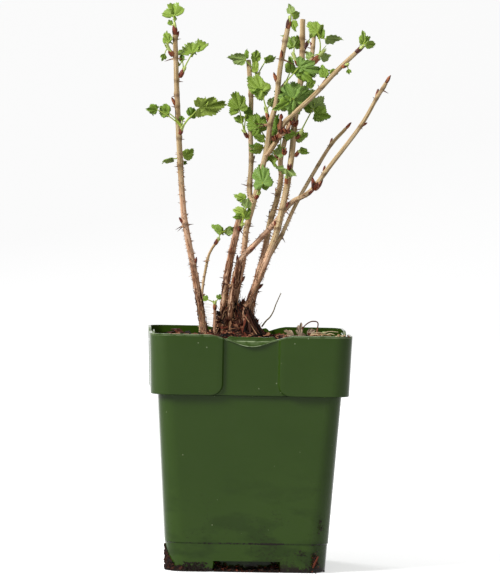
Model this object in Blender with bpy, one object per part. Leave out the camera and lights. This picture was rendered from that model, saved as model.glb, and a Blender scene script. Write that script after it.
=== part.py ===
# Young gooseberry bush in its square nursery pot.
# Metres, +Z up. The origin is the middle of the pot's flat underside, and the pot's front faces -Y.
# Sizes that are written in millimetres are turned into metres by MM where they are used.

import math
import random

import bmesh
import bpy
from mathutils import Matrix, Vector
from mathutils.bvhtree import BVHTree

MM = 0.001
GAP = 0.3  # mm between neighbouring solids
MERGES = (0.00001, 0.000003, 0.000001)  # m, tried in turn as the distance under which points are one
SCRAP = 8  # faces that a join may drop as a loose scrap
CUTTER_SLACK = 0.02  # mm that a socket is wider than the gap, for its flat sides
SEED = 61

# Pot: half widths and heights in mm
POT_HEIGHT = 165.0
COLLAR_HALF_TOP = 70.0
COLLAR_HALF_FOOT = 68.6
COLLAR_FOOT_UP = 123.0
BODY_HALF_TOP = 63.0
BODY_HALF_FOOT = 55.0
STEP_UP = 20.0  # the ring line above the foot
STEP_OUT = 0.5
WALL = 1.2
FLOOR = 1.6
FOOT_EDGE = 1.4
CORNER_TOP = 10.0
CORNER_FOOT = 15.0
PANEL_PROUD = 2.2  # the four corner panels of the collar stand out by this
PANEL_EDGE = 19.3  # from the middle of a side to a panel
PANEL_ROUND = 8.0
RIM_DIP = 6.0  # the rim drops by this in the middle of each side
DIP_FLAT, DIP_END = 12.0, 30.0
LIP_OUT = 2.4
LIP_DROP = 3.0
TAB_HALF, TAB_FOOT_HALF, TAB_UP = 12.5, 14.6, 4.6  # the small upright tab behind each dip
BAY_HALF, BAY_UP, BAY_DEEP = 24.0, 7.7, 14.0  # the drain bay in the foot of each side

# Compost and crown, mm
COMPOST_UP = 153.0
MOUND_AT, MOUND_UP, MOUND_WIDE = (-9.0, -2.0), 13.0, 26.0
CROWN_FOOT_UP, CROWN_UP, CROWN_HALF = 167.0, 184.0, 16.5

# Canes. Each way is (right, away, up) in mm from the foot of the cane to its tip, and thick is
# the radius at foot and tip. A node is (up, side, spine), with side as a plan angle in degrees
# from +X and spine as the length of the thorn under its bud. on= names the cane it forks from.
CANES = {
    "cane_left": dict(
        thick=(2.5, 1.5),
        way=[(-30, -4, 157), (-35, -6, 185), (-41, -9, 215), (-47, -13, 245), (-50.5, -18, 281),
             (-53.5, -24, 326), (-56, -28, 371)],
        nodes=[(218, 10, 4), (236, 0, 3), (246, 185, 8), (272, 180, 6), (326, 180, 4), (343, 10, 4)]),
    "cane_left_thin": dict(
        thick=(1.3, 0.9),
        way=[(-34, 4, 157), (-33, 6, 191), (-29.5, 9, 214), (-27, 10, 221), (-24.5, 11, 225)],
        nodes=[(188, 20, 2)]),
    "sprout": dict(
        thick=(1.5, 0.9),
        way=[(-23.7, -14, 160), (-24, -14, 171), (-24.3, -15, 180)], nodes=[]),
    "cane_stub": dict(
        thick=(2.5, 2.1),
        way=[(-18.8, -1, 172), (-17.7, -2, 184), (-15.4, -5, 206), (-11.7, -8, 226.5), (-8, -11, 245)],
        nodes=[(203, 190, 4), (228, 200, 4)]),
    "cane_middle": dict(
        thick=(2.2, 1.6),
        way=[(-10.3, 3, 172), (-8.8, 4, 192), (-4.7, 4, 213), (-2.7, 2, 236.4), (2.1, 0, 256),
             (10, -6, 292), (12.2, -9, 311), (15.8, -12, 325), (18, -17, 350), (22.5, -22, 377)],
        nodes=[(208, 0, 4), (240, 10, 4), (357, 180, 3)]),
    "cane_middle_fork": dict(
        on="cane_middle", thick=(1.9, 1.5),
        way=[(1.4, 0.4, 254), (-0.9, 4, 262), (-0.2, 9, 284), (-0.9, 15, 307), (-0.7, 21, 329),
             (-2.8, 28, 355)],
        nodes=[(268, 190, 5), (285, 10, 2)]),
    "cane_middle_side": dict(
        on="cane_middle", thick=(1.9, 1.4),
        way=[(10.2, -6.2, 289), (15.7, -9, 297), (19, -11, 304), (22.2, -14, 312), (30.3, -18, 320),
             (43.6, -23, 333), (57, -27, 348), (70, -30, 361)],
        nodes=[(316, 60, 4)]),
    "cane_far_right": dict(
        thick=(2.2, 1.2), bud_tip=True,
        way=[(-14, -6, 172), (-11.8, -6, 194), (-7.1, -5, 214), (2.4, -5, 225), (16, -5, 240),
             (27.4, -9, 255), (41, -14, 264), (54.7, -22, 283), (74, -31, 310), (84.3, -36, 329),
             (90.5, -40, 340)],
        nodes=[(207, 255, 8), (223, 280, 5), (234, 100, 4), (257, 80, 4), (269, 100, 4), (275, 80, 2),
               (311, -20, 2), (330, 130, 3), (337, -20, 5)]),
    "cane_back": dict(
        thick=(2.4, 1.3), bud_tip=True,
        way=[(0, 0, 172), (4.6, -1, 198.6), (10, 1, 220), (13.8, 4, 241), (18.6, 8, 258),
             (21.2, 12, 272.6), (20.8, 16, 285), (23.5, 20, 298), (28.7, 27, 319), (35.6, 33, 342),
             (42, 37, 356.6), (44, 41, 376)],
        nodes=[(246, 160, 4), (262, 170, 4), (279, 100, 4)]),
    "cane_front": dict(
        thick=(2.5, 1.7),
        way=[(-3, -9, 172), (0.3, -11, 187.6), (6.2, -13, 202), (12.4, -14, 218.5), (17.7, -13, 233.6),
             (22.2, -11, 254), (25.7, -7, 273), (28.2, -2, 292.5), (29.8, 3, 313), (32.6, 7, 330),
             (34.4, 14, 358), (34.6, 20, 384.4)],
        nodes=[(211, -10, 6), (238, 190, 4), (251, 20, 6), (285, 0, 4), (371, 0, 4)]),
    "cane_right_thin": dict(
        thick=(1.6, 1.1), bud_tip=True,
        way=[(5, 6.5, 160), (9, 6.5, 203), (14.4, 7, 218), (22.6, 9, 233), (32, 12, 254),
             (44.4, 18, 276.5), (56.3, 25, 296), (67, 31, 308)],
        nodes=[(283, 80, 3), (297, 120, 3)]),
}

# Leaf masses. Each grows from one bud at height up on its cane, on the side given as a plan
# angle, or from the cane's tip where side is None. A leaf is (angle, reach, heading, length,
# width): its stalk leaves the bud at angle for reach mm, and its blade heads the way of heading,
# as seen from the front, with the length and width in mm that are seen from there.
MASSES = {
    "leaves_left_top": dict(cane="cane_left", up=376, side=None, leaves=[
        (100, 6, 95, 9, 14.5)]),
    "leaves_left_upper": dict(cane="cane_left", up=360, side=200, leaves=[
        (100, 6.5, 128, 7.5, 4.5), (95, 8, 110, 7, 3.5)]),
    "leaves_left_high": dict(cane="cane_left", up=345, side=0, leaves=[
        (65, 15, 80, 9.5, 22), (90, 8.5, 95, 5.5, 4)]),
    "leaves_left_middle": dict(cane="cane_left", up=306, side=300, leaves=[
        (128, 14, 145, 7, 11), (140, 21.5, 185, 10, 7.5), (50, 12.5, 80, 5.5, 9.5),
        (40, 21, 35, 12, 18.5), (90, 6.5, 90, 3.5, 4.5)]),
    "leaves_left_low": dict(cane="cane_left", up=284, side=80, leaves=[
        (45, 3, 35, 8, 10), (180, 5.5, 190, 8, 2.5)]),
    "leaves_stub": dict(cane="cane_stub", up=240, side=300, leaves=[
        (85, 15, 160, 6.5, 7), (75, 14, 105, 5.5, 9.5), (80, 8, 145, 6, 8), (95, 6, 185, 5, 5),
        (60, 4, 85, 7.5, 8.5)]),
    "leaves_left_thin": dict(cane="cane_left_thin", up=226, side=None, leaves=[
        (65, 6.5, 145, 7.5, 5), (40, 8.5, 45, 6, 5), (50, 9.5, 300, 5, 6)]),
    "leaves_sprout": dict(cane="sprout", up=181, side=None, leaves=[
        (145, 6, 140, 4.5, 5), (60, 4.5, 65, 4.5, 4.5)]),
    "leaves_fork_top": dict(cane="cane_middle_fork", up=342, side=10, leaves=[
        (108, 13.5, 158, 10.5, 11), (100, 16, 95, 6.5, 5), (85, 15, 60, 7.5, 7.5), (78, 7.5, 88, 9, 5),
        (50, 16.5, 8, 8, 3)]),
    "leaves_middle_upper": dict(cane="cane_middle", up=317, side=170, leaves=[
        (110, 18.5, 145, 12.5, 14), (115, 16.5, 180, 6.5, 5), (110, 16, 40, 9, 4), (75, 5, 70, 6, 4.5)]),
    "leaves_fork_middle": dict(cane="cane_middle_fork", up=304, side=200, leaves=[
        (115, 18.5, 95, 11, 14.5), (105, 11, 95, 7, 7.5), (125, 10.5, 175, 6, 5)]),
    "leaves_back_low": dict(cane="cane_back", up=289, side=150, leaves=[
        (135, 29, 160, 11, 17), (130, 31, 65, 6, 7), (60, 4, 75, 5, 2), (160, 4, 130, 5, 5.5)]),
    "leaves_middle_low": dict(cane="cane_middle", up=262, side=290, leaves=[
        (80, 8, 80, 9.5, 15), (80, 7, 215, 7.5, 12)]),
    "leaves_front_low": dict(cane="cane_front", up=272, side=250, leaves=[
        (130, 5.5, 270, 5.5, 13)]),
    "leaves_side_low": dict(cane="cane_middle_side", up=303, side=70, leaves=[
        (135, 3, 90, 12, 4.5), (10, 4, 25, 6, 4.5), (250, 3.5, 100, 5, 6)]),
    "leaves_middle_back": dict(cane="cane_middle", up=293, side=100, leaves=[
        (160, 4, 170, 9, 3.5), (200, 4, 185, 8.5, 3), (105, 7.5, 175, 6.5, 3.5), (280, 4.5, 285, 6, 4.5)]),
    "leaves_front_upper": dict(cane="cane_front", up=355, side=200, leaves=[
        (125, 12, 135, 8.5, 7.5), (115, 11, 78, 7.5, 10.5)]),
    "leaves_middle_high": dict(cane="cane_middle", up=338, side=10, leaves=[
        (65, 10.5, 88, 10.5, 7), (45, 18, 8, 9, 14), (32, 21, 345, 10, 10)]),
    "leaves_front_high": dict(cane="cane_front", up=335, side=10, leaves=[
        (40, 4.5, 35, 8, 8), (70, 6, 65, 5, 6)]),
    "leaves_front_bud": dict(cane="cane_front", up=369, side=30, leaves=[(60, 4, 78, 4.5, 3)]),
    "leaves_back_top": dict(cane="cane_back", up=358, side=330, leaves=[
        (85, 18.5, 125, 8.5, 11), (80, 22, 35, 4.5, 2.5), (65, 15, 98, 8, 4), (55, 17, 15, 8.5, 5.5),
        (0, 5, 20, 6, 6), (160, 4, 130, 4.5, 5)]),
    "leaves_side_middle": dict(cane="cane_middle_side", up=340, side=100, leaves=[
        (65, 5.5, 120, 6.5, 8), (50, 8, 25, 7.5, 4.5)]),
    "leaves_side_high": dict(cane="cane_middle_side", up=355, side=300, leaves=[(300, 3, 280, 4, 4)]),
    "leaves_side_tip": dict(cane="cane_middle_side", up=363, side=None, leaves=[
        (55, 6, 90, 8, 5.5), (45, 7, 355, 7, 5), (60, 9, 25, 4, 3.5)]),
    "leaves_middle_tip": dict(cane="cane_middle", up=381, side=None, leaves=[
        (76, 9, 104, 7, 6), (57, 6, 34, 6.5, 5), (40, 3.5, 283, 8, 4.5)]),
    "leaves_crown": dict(cane="cane_front", up=313, side=230, leaves=[
        (105, 18, 152, 11, 16), (80, 17.5, 15, 11.5, 16), (90, 15, 270, 8, 11.5), (115, 17.5, 245, 6.5, 8),
        (100, 18, 80, 8.5, 16)]),
    "leaves_front_right": dict(cane="cane_front", up=304, side=340, leaves=[
        (55, 22.5, 40, 9, 12.5), (45, 19, 345, 9.5, 11), (60, 22.5, 160, 5, 6), (300, 5.5, 15, 7, 9)]),
    "leaves_front_side": dict(cane="cane_front", up=292, side=10, leaves=[(20, 4.5, 315, 6, 2.5)]),
}
LEAF_THICK = 0.5
STALK_THICK = 0.55
BUD_LONG, BUD_THICK = 6.0, 1.4
CANE_SIDES = 6
MASS_REACH = 46.0  # no leaf goes further than this from its bud
LEANS_TRIED = 16
MOST_DEEP = 12.0  # mm that a leaf may stand before or behind its bud
SHARED_STALK = 5.0

# Half outlines of a leaf from its tip round to its foot: (angle from the heading, share of its
# length ahead and of its half width to the side)
FIVE_LOBES = [(22, 0.7), (48, 1.05), (76, 0.72), (112, 0.95)]
THREE_LOBES = [(28, 0.66), (58, 1.1), (118, 0.7)]
PLAIN_LEAF = [(50, 1.05), (118, 0.6)]
LARGE_LEAF, SMALL_LEAF = 10.0, 5.5  # mm. Between them a leaf has three lobes
NOTCH = 0.1
FOLD = 0.2  # how steeply a blade's halves rise from its midrib

# Colours: base colour, roughness
LOOKS = {
    "pot_plastic": ((0.045, 0.095, 0.02), 0.42),
    "bark": ((0.42, 0.27, 0.16), 0.75),
    "leaf": ((0.13, 0.30, 0.04), 0.55),
    "compost": ((0.07, 0.03, 0.015), 0.95),
    "crown_wood": ((0.09, 0.045, 0.025), 0.9),
}


def smooth_step(x):
    x = min(max(x, 0.0), 1.0)
    return x * x * (3 - 2 * x)


def material(name):
    found = bpy.data.materials.get(name)
    if found:
        return found
    colour, roughness = LOOKS[name]
    made = bpy.data.materials.new(name)
    made.use_nodes = True
    shader = made.node_tree.nodes["Principled BSDF"]
    shader.inputs["Base Color"].default_value = (*colour, 1)
    shader.inputs["Roughness"].default_value = roughness
    shader.inputs["Metallic"].default_value = 0.0
    return made


def new_object(name, verts, faces, look):
    """verts are in mm."""
    mesh = bpy.data.meshes.new(name)
    mesh.from_pydata([Vector(v) * MM for v in verts], [], faces)
    mesh.validate()
    mesh.materials.append(material(look))
    made = bpy.data.objects.new(name, mesh)
    bpy.context.scene.collection.objects.link(made)
    return made


def smooth_shading(piece, angle=35):
    piece.data.shade_smooth()
    piece.data.set_sharp_from_angle(angle=math.radians(angle))


def boolean(piece, others, operation):
    """Joins or cuts piece with all of others at once, applies it and removes them."""
    tools = bpy.data.collections.new("tools")
    bpy.context.scene.collection.children.link(tools)
    for other in others:
        bpy.context.scene.collection.objects.unlink(other)
        tools.objects.link(other)
    step = piece.modifiers.new("Boolean", "BOOLEAN")
    step.operation = operation
    step.operand_type = "COLLECTION"
    step.collection = tools
    for solver, merge in [(solver, merge) for solver in ("EXACT", "MANIFOLD") for merge in MERGES]:
        step.solver = solver
        bpy.context.view_layer.update()
        shaped = piece.evaluated_get(bpy.context.evaluated_depsgraph_get())
        result = bpy.data.meshes.new_from_object(shaped)
        lost = tidy_mesh(result, merge)
        if lost <= SCRAP and is_sound(result):
            break
    else:
        print("not sound", piece.name, lost)
    piece.modifiers.remove(step)
    piece.data = result
    for other in others:
        bpy.data.objects.remove(other)
    bpy.data.collections.remove(tools)


def is_sound(mesh):
    """True if the mesh is closed and faces outwards."""
    work = bmesh.new()
    work.from_mesh(mesh)
    closed = all(len(edge.link_faces) == 2 for edge in work.edges)
    sound = closed and work.calc_volume(signed=True) > 0
    work.free()
    return sound


def tidy_mesh(mesh, merge):
    """Merges points that fall together and keeps the largest body. Returns the faces dropped."""
    work = bmesh.new()
    work.from_mesh(mesh)
    bmesh.ops.remove_doubles(work, verts=work.verts, dist=merge)
    bmesh.ops.dissolve_degenerate(work, edges=work.edges, dist=merge)
    bmesh.ops.triangulate(work, faces=work.faces)
    work.faces.ensure_lookup_table()
    unseen, bodies = set(work.faces), []
    while unseen:
        stack, body = [unseen.pop()], []
        while stack:
            face = stack.pop()
            body.append(face)
            for other in [other for edge in face.edges for other in edge.link_faces]:
                if other in unseen:
                    unseen.remove(other)
                    stack.append(other)
        bodies.append(body)
    bodies.sort(key=len)
    dropped = sum(len(body) for body in bodies[:-1])
    for body in bodies[:-1]:
        bmesh.ops.delete(work, geom=body, context="FACES")
    work.to_mesh(mesh)
    work.free()
    return dropped


# Lofts

def loft(name, loops, look, cap_low=True, cap_high=True):
    """A skin over loops of equal length, closed with flat caps."""
    count = len(loops[0])
    verts = [point for loop in loops for point in loop]
    faces = []
    for k in range(len(loops) - 1):
        for i in range(count):
            j = (i + 1) % count
            faces.append((k * count + i, k * count + j, (k + 1) * count + j, (k + 1) * count + i))
    if cap_low:
        faces.append(tuple(reversed(range(count))))
    if cap_high:
        start = (len(loops) - 1) * count
        faces.append(tuple(range(start, start + count)))
    return new_object(name, verts, faces, look)


def side_places(half, corner, edge):
    """Distances along one side from its middle to the start of the corner's arc."""
    return [0.0, TAB_HALF, TAB_FOOT_HALF, edge - 1, edge + 1, DIP_END, half - corner]


def square_loop(half, corner, up, edge=PANEL_EDGE, shape=None):
    """Points round a rounded square. shape(t) gives (out, rise) in mm at t from a side's middle."""
    half_side = side_places(half, corner, edge)
    places = [-t for t in reversed(half_side[1:])] + half_side
    points = []
    for side in range(4):
        turn = Matrix.Rotation(side * math.pi / 2, 3, "Z")
        for t in places:
            out, rise = shape(abs(t)) if shape else (0.0, 0.0)
            points.append(turn @ Vector((t, -half - out, up + rise)))
        out, rise = shape(half) if shape else (0.0, 0.0)
        for step in (1, 2, 3):
            angle = math.radians(-90 + 22.5 * step)
            radius = corner + out
            centre = half - corner
            points.append(turn @ Vector((centre + radius * math.cos(angle),
                                         -centre + radius * math.sin(angle), up + rise)))
    return points


# Pot

def body_half(up):
    """Half width of the pot's outer wall below the collar."""
    grown = BODY_HALF_FOOT + (BODY_HALF_TOP - BODY_HALF_FOOT) * up / COLLAR_FOOT_UP
    return grown + (STEP_OUT if up > STEP_UP else 0.0)


def collar_half(up):
    share = (up - COLLAR_FOOT_UP) / (POT_HEIGHT - COLLAR_FOOT_UP)
    return COLLAR_HALF_FOOT + (COLLAR_HALF_TOP - COLLAR_HALF_FOOT) * share - PANEL_PROUD


def corner_at(up):
    return CORNER_FOOT + (CORNER_TOP - CORNER_FOOT) * up / POT_HEIGHT


def panel_edge(up):
    """From the middle of a side to the panel, with the panel's lower corner rounded."""
    rise = up - COLLAR_FOOT_UP
    if rise >= PANEL_ROUND:
        return PANEL_EDGE
    left = 1 - rise / PANEL_ROUND
    return PANEL_EDGE + PANEL_ROUND * (1 - math.sqrt(max(0.0, 1 - left * left)))


def rim_dip(t):
    return -RIM_DIP * (1 - smooth_step((t - DIP_FLAT) / (DIP_END - DIP_FLAT)))


def collar_shape(up, rim=False, lip=0.0, inset=0.0, tab=False):
    edge = panel_edge(up)

    def shape(t):
        out = PANEL_PROUD if t > edge else 0.0
        if lip and t <= edge - 1:
            out += lip * (1 - (t / edge) ** 2)
        rise = rim_dip(t) if rim else 0.0
        if tab and t <= TAB_HALF:
            rise += TAB_UP
        return out - inset, rise

    return edge, shape


def collar_loop(up, **settings):
    edge, shape = collar_shape(up, **settings)
    return square_loop(collar_half(up), corner_at(up), up, edge, shape)


def inner_half(up):
    if up < COLLAR_FOOT_UP:
        return body_half(up) - WALL
    return collar_half(up) - WALL


def make_pot():
    loops = [
        square_loop(body_half(0) - FOOT_EDGE, corner_at(0) - FOOT_EDGE, 0.0),
        square_loop(body_half(0), corner_at(0), FOOT_EDGE),
        square_loop(body_half(STEP_UP), corner_at(STEP_UP), STEP_UP - 0.4),
        square_loop(body_half(STEP_UP + 0.1), corner_at(STEP_UP), STEP_UP + 0.4),
        square_loop(body_half(COLLAR_FOOT_UP), corner_at(COLLAR_FOOT_UP), COLLAR_FOOT_UP - 0.4),
    ]
    for rise in (0.0, 1.5, PANEL_ROUND):
        loops.append(collar_loop(COLLAR_FOOT_UP + rise))
    lip_up = POT_HEIGHT - LIP_DROP
    loops += [
        collar_loop(lip_up - 5.0),
        collar_loop(lip_up, rim=True, lip=LIP_OUT),
        collar_loop(POT_HEIGHT, rim=True),
        collar_loop(POT_HEIGHT, rim=True, inset=0.7),
        collar_loop(POT_HEIGHT, rim=True, inset=0.9, tab=True),
        collar_loop(POT_HEIGHT, rim=True, inset=1.9, tab=True),
    ]
    for up in (POT_HEIGHT - RIM_DIP - 3.0, COLLAR_FOOT_UP + PANEL_ROUND, COLLAR_FOOT_UP + 1.3):
        loops.append(collar_loop(up, inset=WALL))
    for up in (COLLAR_FOOT_UP - 1.0, STEP_UP, FLOOR):
        loops.append(square_loop(inner_half(up), corner_at(up) - WALL, up))
    pot = loft("pot", loops, "pot_plastic")
    boolean(pot, drain_bays(WALL, 0.6), "UNION")
    boolean(pot, drain_bays(0.0, -6.0), "DIFFERENCE")
    smooth_shading(pot)
    return pot


def drain_bays(grown, short):
    """One wedge for each side's drain bay. grown widens it, short starts it inside the wall."""
    pieces = []
    face = BODY_HALF_FOOT
    for side in range(4):
        low = 0.4 if short > 0 else -2.0
        high = BAY_UP + grown
        wide = BAY_HALF + grown
        front, back = -face + short, -face + BAY_DEEP + grown
        verts = []
        for up, narrower in ((low, 0.0), (high, 1.0)):
            for x, y in ((-1, front), (1, front), (1, back), (-1, back)):
                verts.append((x * (wide - narrower - 0.2 * (y + face)), y, up))
        turn = Matrix.Rotation(side * math.pi / 2, 3, "Z")
        faces = [(3, 2, 1, 0), (4, 5, 6, 7), (0, 1, 5, 4), (1, 2, 6, 5), (2, 3, 7, 6), (3, 0, 4, 7)]
        pieces.append(new_object("bay", [turn @ Vector(v) for v in verts], faces, "pot_plastic"))
    return pieces


# Compost and crown

def mound(x, y):
    away = math.hypot(x - MOUND_AT[0], y - MOUND_AT[1])
    return MOUND_UP * math.exp(-((away / MOUND_WIDE) ** 2))


def lump(x, y, size):
    """A smooth bumpy height in -1 to 1."""
    return (math.sin(x / size) * math.cos(y / size * 1.3) + math.sin((x + 2 * y) / size * 0.7)) / 2


def make_compost():
    clear = GAP + 0.1
    loops = []
    for up in (FLOOR + GAP, STEP_UP, COLLAR_FOOT_UP - 1.0 - clear):
        half = inner_half(up) - clear
        loops.append(round_square(half, corner_at(up) - WALL, up))
    half = inner_half(COLLAR_FOOT_UP - 2) - clear
    loops.append(round_square(half, corner_at(COLLAR_FOOT_UP) - WALL, COMPOST_UP - 3))
    for share in (0.97, 0.8, 0.62, 0.46, 0.3, 0.15, 0.04):
        flat = round_square(half * share, max(1.0, half * share * 0.3 + 4 * share), 0.0)
        loops.append([Vector((p.x, p.y, surface(p.x, p.y))) for p in flat])
    compost = loft("compost", loops, "compost")
    boolean(compost, drain_bays(WALL + clear, -2.0), "DIFFERENCE")
    return compost


def surface(x, y):
    """Height of the compost, level under the crown."""
    up = COMPOST_UP + mound(x, y) + 1.3 * lump(x, y, 7.0)
    away = math.hypot(x - MOUND_AT[0], y - MOUND_AT[1])
    seat = CROWN_FOOT_UP - GAP - 0.2
    blend = smooth_step((away - CROWN_HALF) / 6.0)
    return seat * (1 - blend) + up * blend if away < CROWN_HALF + 6 else up


def round_square(half, corner, up, steps=3):
    points = []
    for side in range(4):
        turn = Matrix.Rotation(side * math.pi / 2, 3, "Z")
        for t in (-0.5, 0.0, 0.5):
            points.append(turn @ Vector((t * (half - corner), -half, up)))
        for k in range(steps):
            angle = math.radians(-90 + 90 * k / (steps - 1))
            points.append(turn @ Vector((half - corner + corner * math.cos(angle),
                                         -half + corner + corner * math.sin(angle), up)))
    return points


def make_crown():
    """The old wood at the foot of the canes, a knobbly dome that sits level on the compost."""
    count = 20
    loops = []
    profile = [(0.0, 1.0), (0.25, 1.02), (0.5, 0.9), (0.75, 0.72), (1.0, 0.42)]
    for share, wide in profile:
        up = CROWN_FOOT_UP + (CROWN_UP - CROWN_FOOT_UP) * share
        loop = []
        for i in range(count):
            angle = 2 * math.pi * i / count
            knob = 1 + 0.09 * math.sin(3 * angle + 5 * share) + 0.05 * math.sin(7 * angle - 3 * share)
            radius = CROWN_HALF * wide * knob
            loop.append((MOUND_AT[0] + radius * math.cos(angle), MOUND_AT[1] + radius * math.sin(angle), up))
        loops.append(loop)
    return loft("crown", loops, "crown_wood")


# Limbs

def curve_points(way, spacing):
    """Even points on a smooth curve through way."""
    way = [Vector(p) for p in way]
    ends = [way[0] * 2 - way[1]] + way + [way[-1] * 2 - way[-2]]
    fine = []
    for k in range(1, len(ends) - 2):
        a, b, c, d = ends[k - 1:k + 3]
        for i in range(16):
            t = i / 16
            fine.append(0.5 * (2 * b + (c - a) * t + (2 * a - 5 * b + 4 * c - d) * t * t
                               + (3 * b - a - 3 * c + d) * t ** 3))
    fine.append(way[-1])
    lengths = [0.0]
    for p, q in zip(fine, fine[1:]):
        lengths.append(lengths[-1] + (q - p).length)
    count = max(2, round(lengths[-1] / spacing))
    points, k = [], 0
    for i in range(count + 1):
        want = lengths[-1] * i / count
        while k < len(fine) - 2 and lengths[k + 1] < want:
            k += 1
        span = lengths[k + 1] - lengths[k]
        points.append(fine[k].lerp(fine[k + 1], (want - lengths[k]) / span if span else 0.0))
    return points


def tube(name, points, radii, sides, look):
    """A closed tapering tube whose rings turn as little as they can."""
    loops = []
    along = (points[1] - points[0]).normalized()
    across = along.orthogonal().normalized()
    for k, point in enumerate(points):
        before, after = points[max(k - 1, 0)], points[min(k + 1, len(points) - 1)]
        new_along = (after - before).normalized()
        across = along.rotation_difference(new_along) @ across
        along = new_along
        up = along.cross(across)
        loops.append([point + (across * math.cos(a) + up * math.sin(a)) * radii[k]
                      for a in (2 * math.pi * i / sides for i in range(sides))])
    return loft(name, loops, look)


def cane_line(spec, spacing=16.0):
    """Points and radii of a cane, with its foot a little swollen and a bud on its tip if it has one."""
    points = curve_points(spec["way"], spacing)
    foot, tip = spec["thick"]
    last = len(points) - 1
    radii = []
    for k in range(last + 1):
        share = k / last
        swell = 1 + (0.16 if "on" not in spec else 0.25) * math.exp(-k * spacing / 9.0)
        radii.append((foot + (tip - foot) * share) * swell)
    if spec.get("bud_tip"):
        along = (points[-1] - points[-2]).normalized()
        for further, wide in ((1.5, 1.15), (4.5, 1.05), (8.0, 0.3)):
            points.append(points[last] + along * further)
            radii.append(tip * wide)
    return points, radii


def place_on(spec, up):
    """The point, direction and radius of a cane at a height in mm."""
    points, radii = cane_line(spec, 4.0)
    for k in range(len(points) - 1):
        if points[k + 1].z >= up or k == len(points) - 2:
            a, b = points[k], points[k + 1]
            share = min(max((up - a.z) / (b.z - a.z), 0.0), 1.0)
            return a.lerp(b, share), (b - a).normalized(), radii[k] + (radii[k + 1] - radii[k]) * share


def outward(along, side):
    """The direction square to a limb that looks towards a plan angle."""
    want = Vector((math.cos(math.radians(side)), math.sin(math.radians(side)), 0))
    return (want - along * want.dot(along)).normalized()


def spindle(name, start, along, long, thick):
    """A pointed bud."""
    points = [start + along * long * s for s in (0.0, 0.4, 1.0)]
    return tube(name, points, [thick * w for w in (0.7, 1.0, 0.25)], 4, "bark")


def make_canes():
    made = {}
    for name, spec in CANES.items():
        points, radii = cane_line(spec)
        if "on" not in spec:
            made[name] = tube(name, points, radii, CANE_SIDES, "bark")
            continue
        carrier = tree_of(made[spec["on"]])
        for step in range(12):
            line = start_clear(spec, points, radii, GAP + 0.15 * step)
            made[name] = tube(name, *line, CANE_SIDES, "bark")
            if is_clear(made[name], [carrier], GAP):
                break
            bpy.data.objects.remove(made[name])
    return made


def start_clear(spec, points, radii, gap):
    """Moves a fork's first ring out to the surface of the cane that carries it."""
    under = CANES[spec["on"]]
    centre, along, radius = place_on(under, spec["way"][0][2])
    out = points[1] - centre
    out = (out - along * out.dot(along)).normalized()
    first = centre + out * (radius + gap)
    second = first + out * 1.8 + along * 0.4
    return [first, second] + points[1:], [radii[1], radii[1]] + radii[1:]


def tree_of(piece):
    work = bmesh.new()
    work.from_mesh(piece.data)
    found = BVHTree.FromBMesh(work)
    points = [v.co.copy() for v in work.verts]
    work.free()
    return found, points


def is_clear(piece, others, gap):
    """True if piece keeps gap mm to every one of others."""
    tree, points = tree_of(piece)
    for other_tree, other_points in others:
        if tree.overlap(other_tree):
            return False
        if any(other_tree.find_nearest(p, gap * MM)[0] for p in points):
            return False
        if any(tree.find_nearest(p, gap * MM)[0] for p in other_points):
            return False
    return True


def dress_cane(name, cane, trees):
    """Adds a bud and a thorn at each node, leaving out what would come near another cane."""
    others = [tree for other, tree in trees.items() if other != name]
    spec, added = CANES[name], []
    for up, side, spine in spec["nodes"]:
        centre, along, radius = place_on(spec, up)
        out = outward(along, side)
        bud = spindle("bud", centre + out * radius * 0.5 + along * 1.0, (out * 0.5 + along).normalized(), 5.0, 1.1)
        thorn_way = (out - along * 0.25).normalized()
        start = centre + out * radius * 0.4 - along * 1.5
        thorn = tube("thorn", [start, start + thorn_way * (radius * 0.6 + spine)], [0.6, 0.15], 3, "bark")
        for extra in (bud, thorn):
            if is_clear(extra, others, 0.8):
                added.append(extra)
            else:
                bpy.data.objects.remove(extra)
    if added:
        boolean(cane, added, "UNION")


# Leaves

def half_outline(length, width):
    """Points of one half of a lobed blade between its tip and its notch, heading +X."""
    size = max(length, width)
    lobes = FIVE_LOBES if size > LARGE_LEAF else THREE_LOBES if size > SMALL_LEAF else PLAIN_LEAF
    return [(length * share * math.cos(math.radians(angle)), width / 2 * share * math.sin(math.radians(angle)))
            for angle, share in lobes]


def make_blade(base, heading, normal, length, width):
    """A lobed blade from base along heading, a little folded up along its midrib."""
    side = normal.cross(heading).normalized()
    half = half_outline(length, width)
    outline = [(-NOTCH * length, 0.0)] + [(x, -y) for x, y in reversed(half)] + [(length, 0.0)] + half
    verts = [base + heading * x + side * y + normal * (FOLD * abs(y) + face * LEAF_THICK / 2)
             for face in (1, -1) for x, y in outline]
    n, tip = len(outline), len(half) + 1
    halves = [tuple(range(0, tip + 1)), (0,) + tuple(range(tip, n))]
    faces = halves + [tuple(n + i for i in reversed(half_face)) for half_face in halves]
    for i in range(n):
        j = (i + 1) % n
        faces.append((i, n + i, n + j, j))
    return new_object("blade", verts, faces, "leaf")


def blade_axes(heading, length, width, lean):
    """The blade's heading and normal, and its true length and width, from those seen in front."""
    true_width = max(width, 0.75 * length)
    true_length = max(length, 0.5 * width)
    foreshort = math.acos(min(1.0, length / true_length * math.cos(lean)))
    turn = math.acos(min(1.0, width / true_width))
    true_length = length / math.cos(foreshort)
    rising = 1 if math.sin(heading) >= 0 else -1
    flat = Vector((math.cos(heading), 0, math.sin(heading)))
    ahead = (flat * math.cos(foreshort) + Vector((0, rising, 0)) * math.sin(foreshort)).normalized()
    normal = Vector((0, -1, 0))
    normal = (normal - ahead * normal.dot(ahead)).normalized()
    tip_up = 1 if ahead.cross(normal).z > 0 else -1
    normal = Matrix.Rotation(-tip_up * turn * 0.95, 3, ahead) @ normal
    return ahead, normal, true_length, true_width


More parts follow.
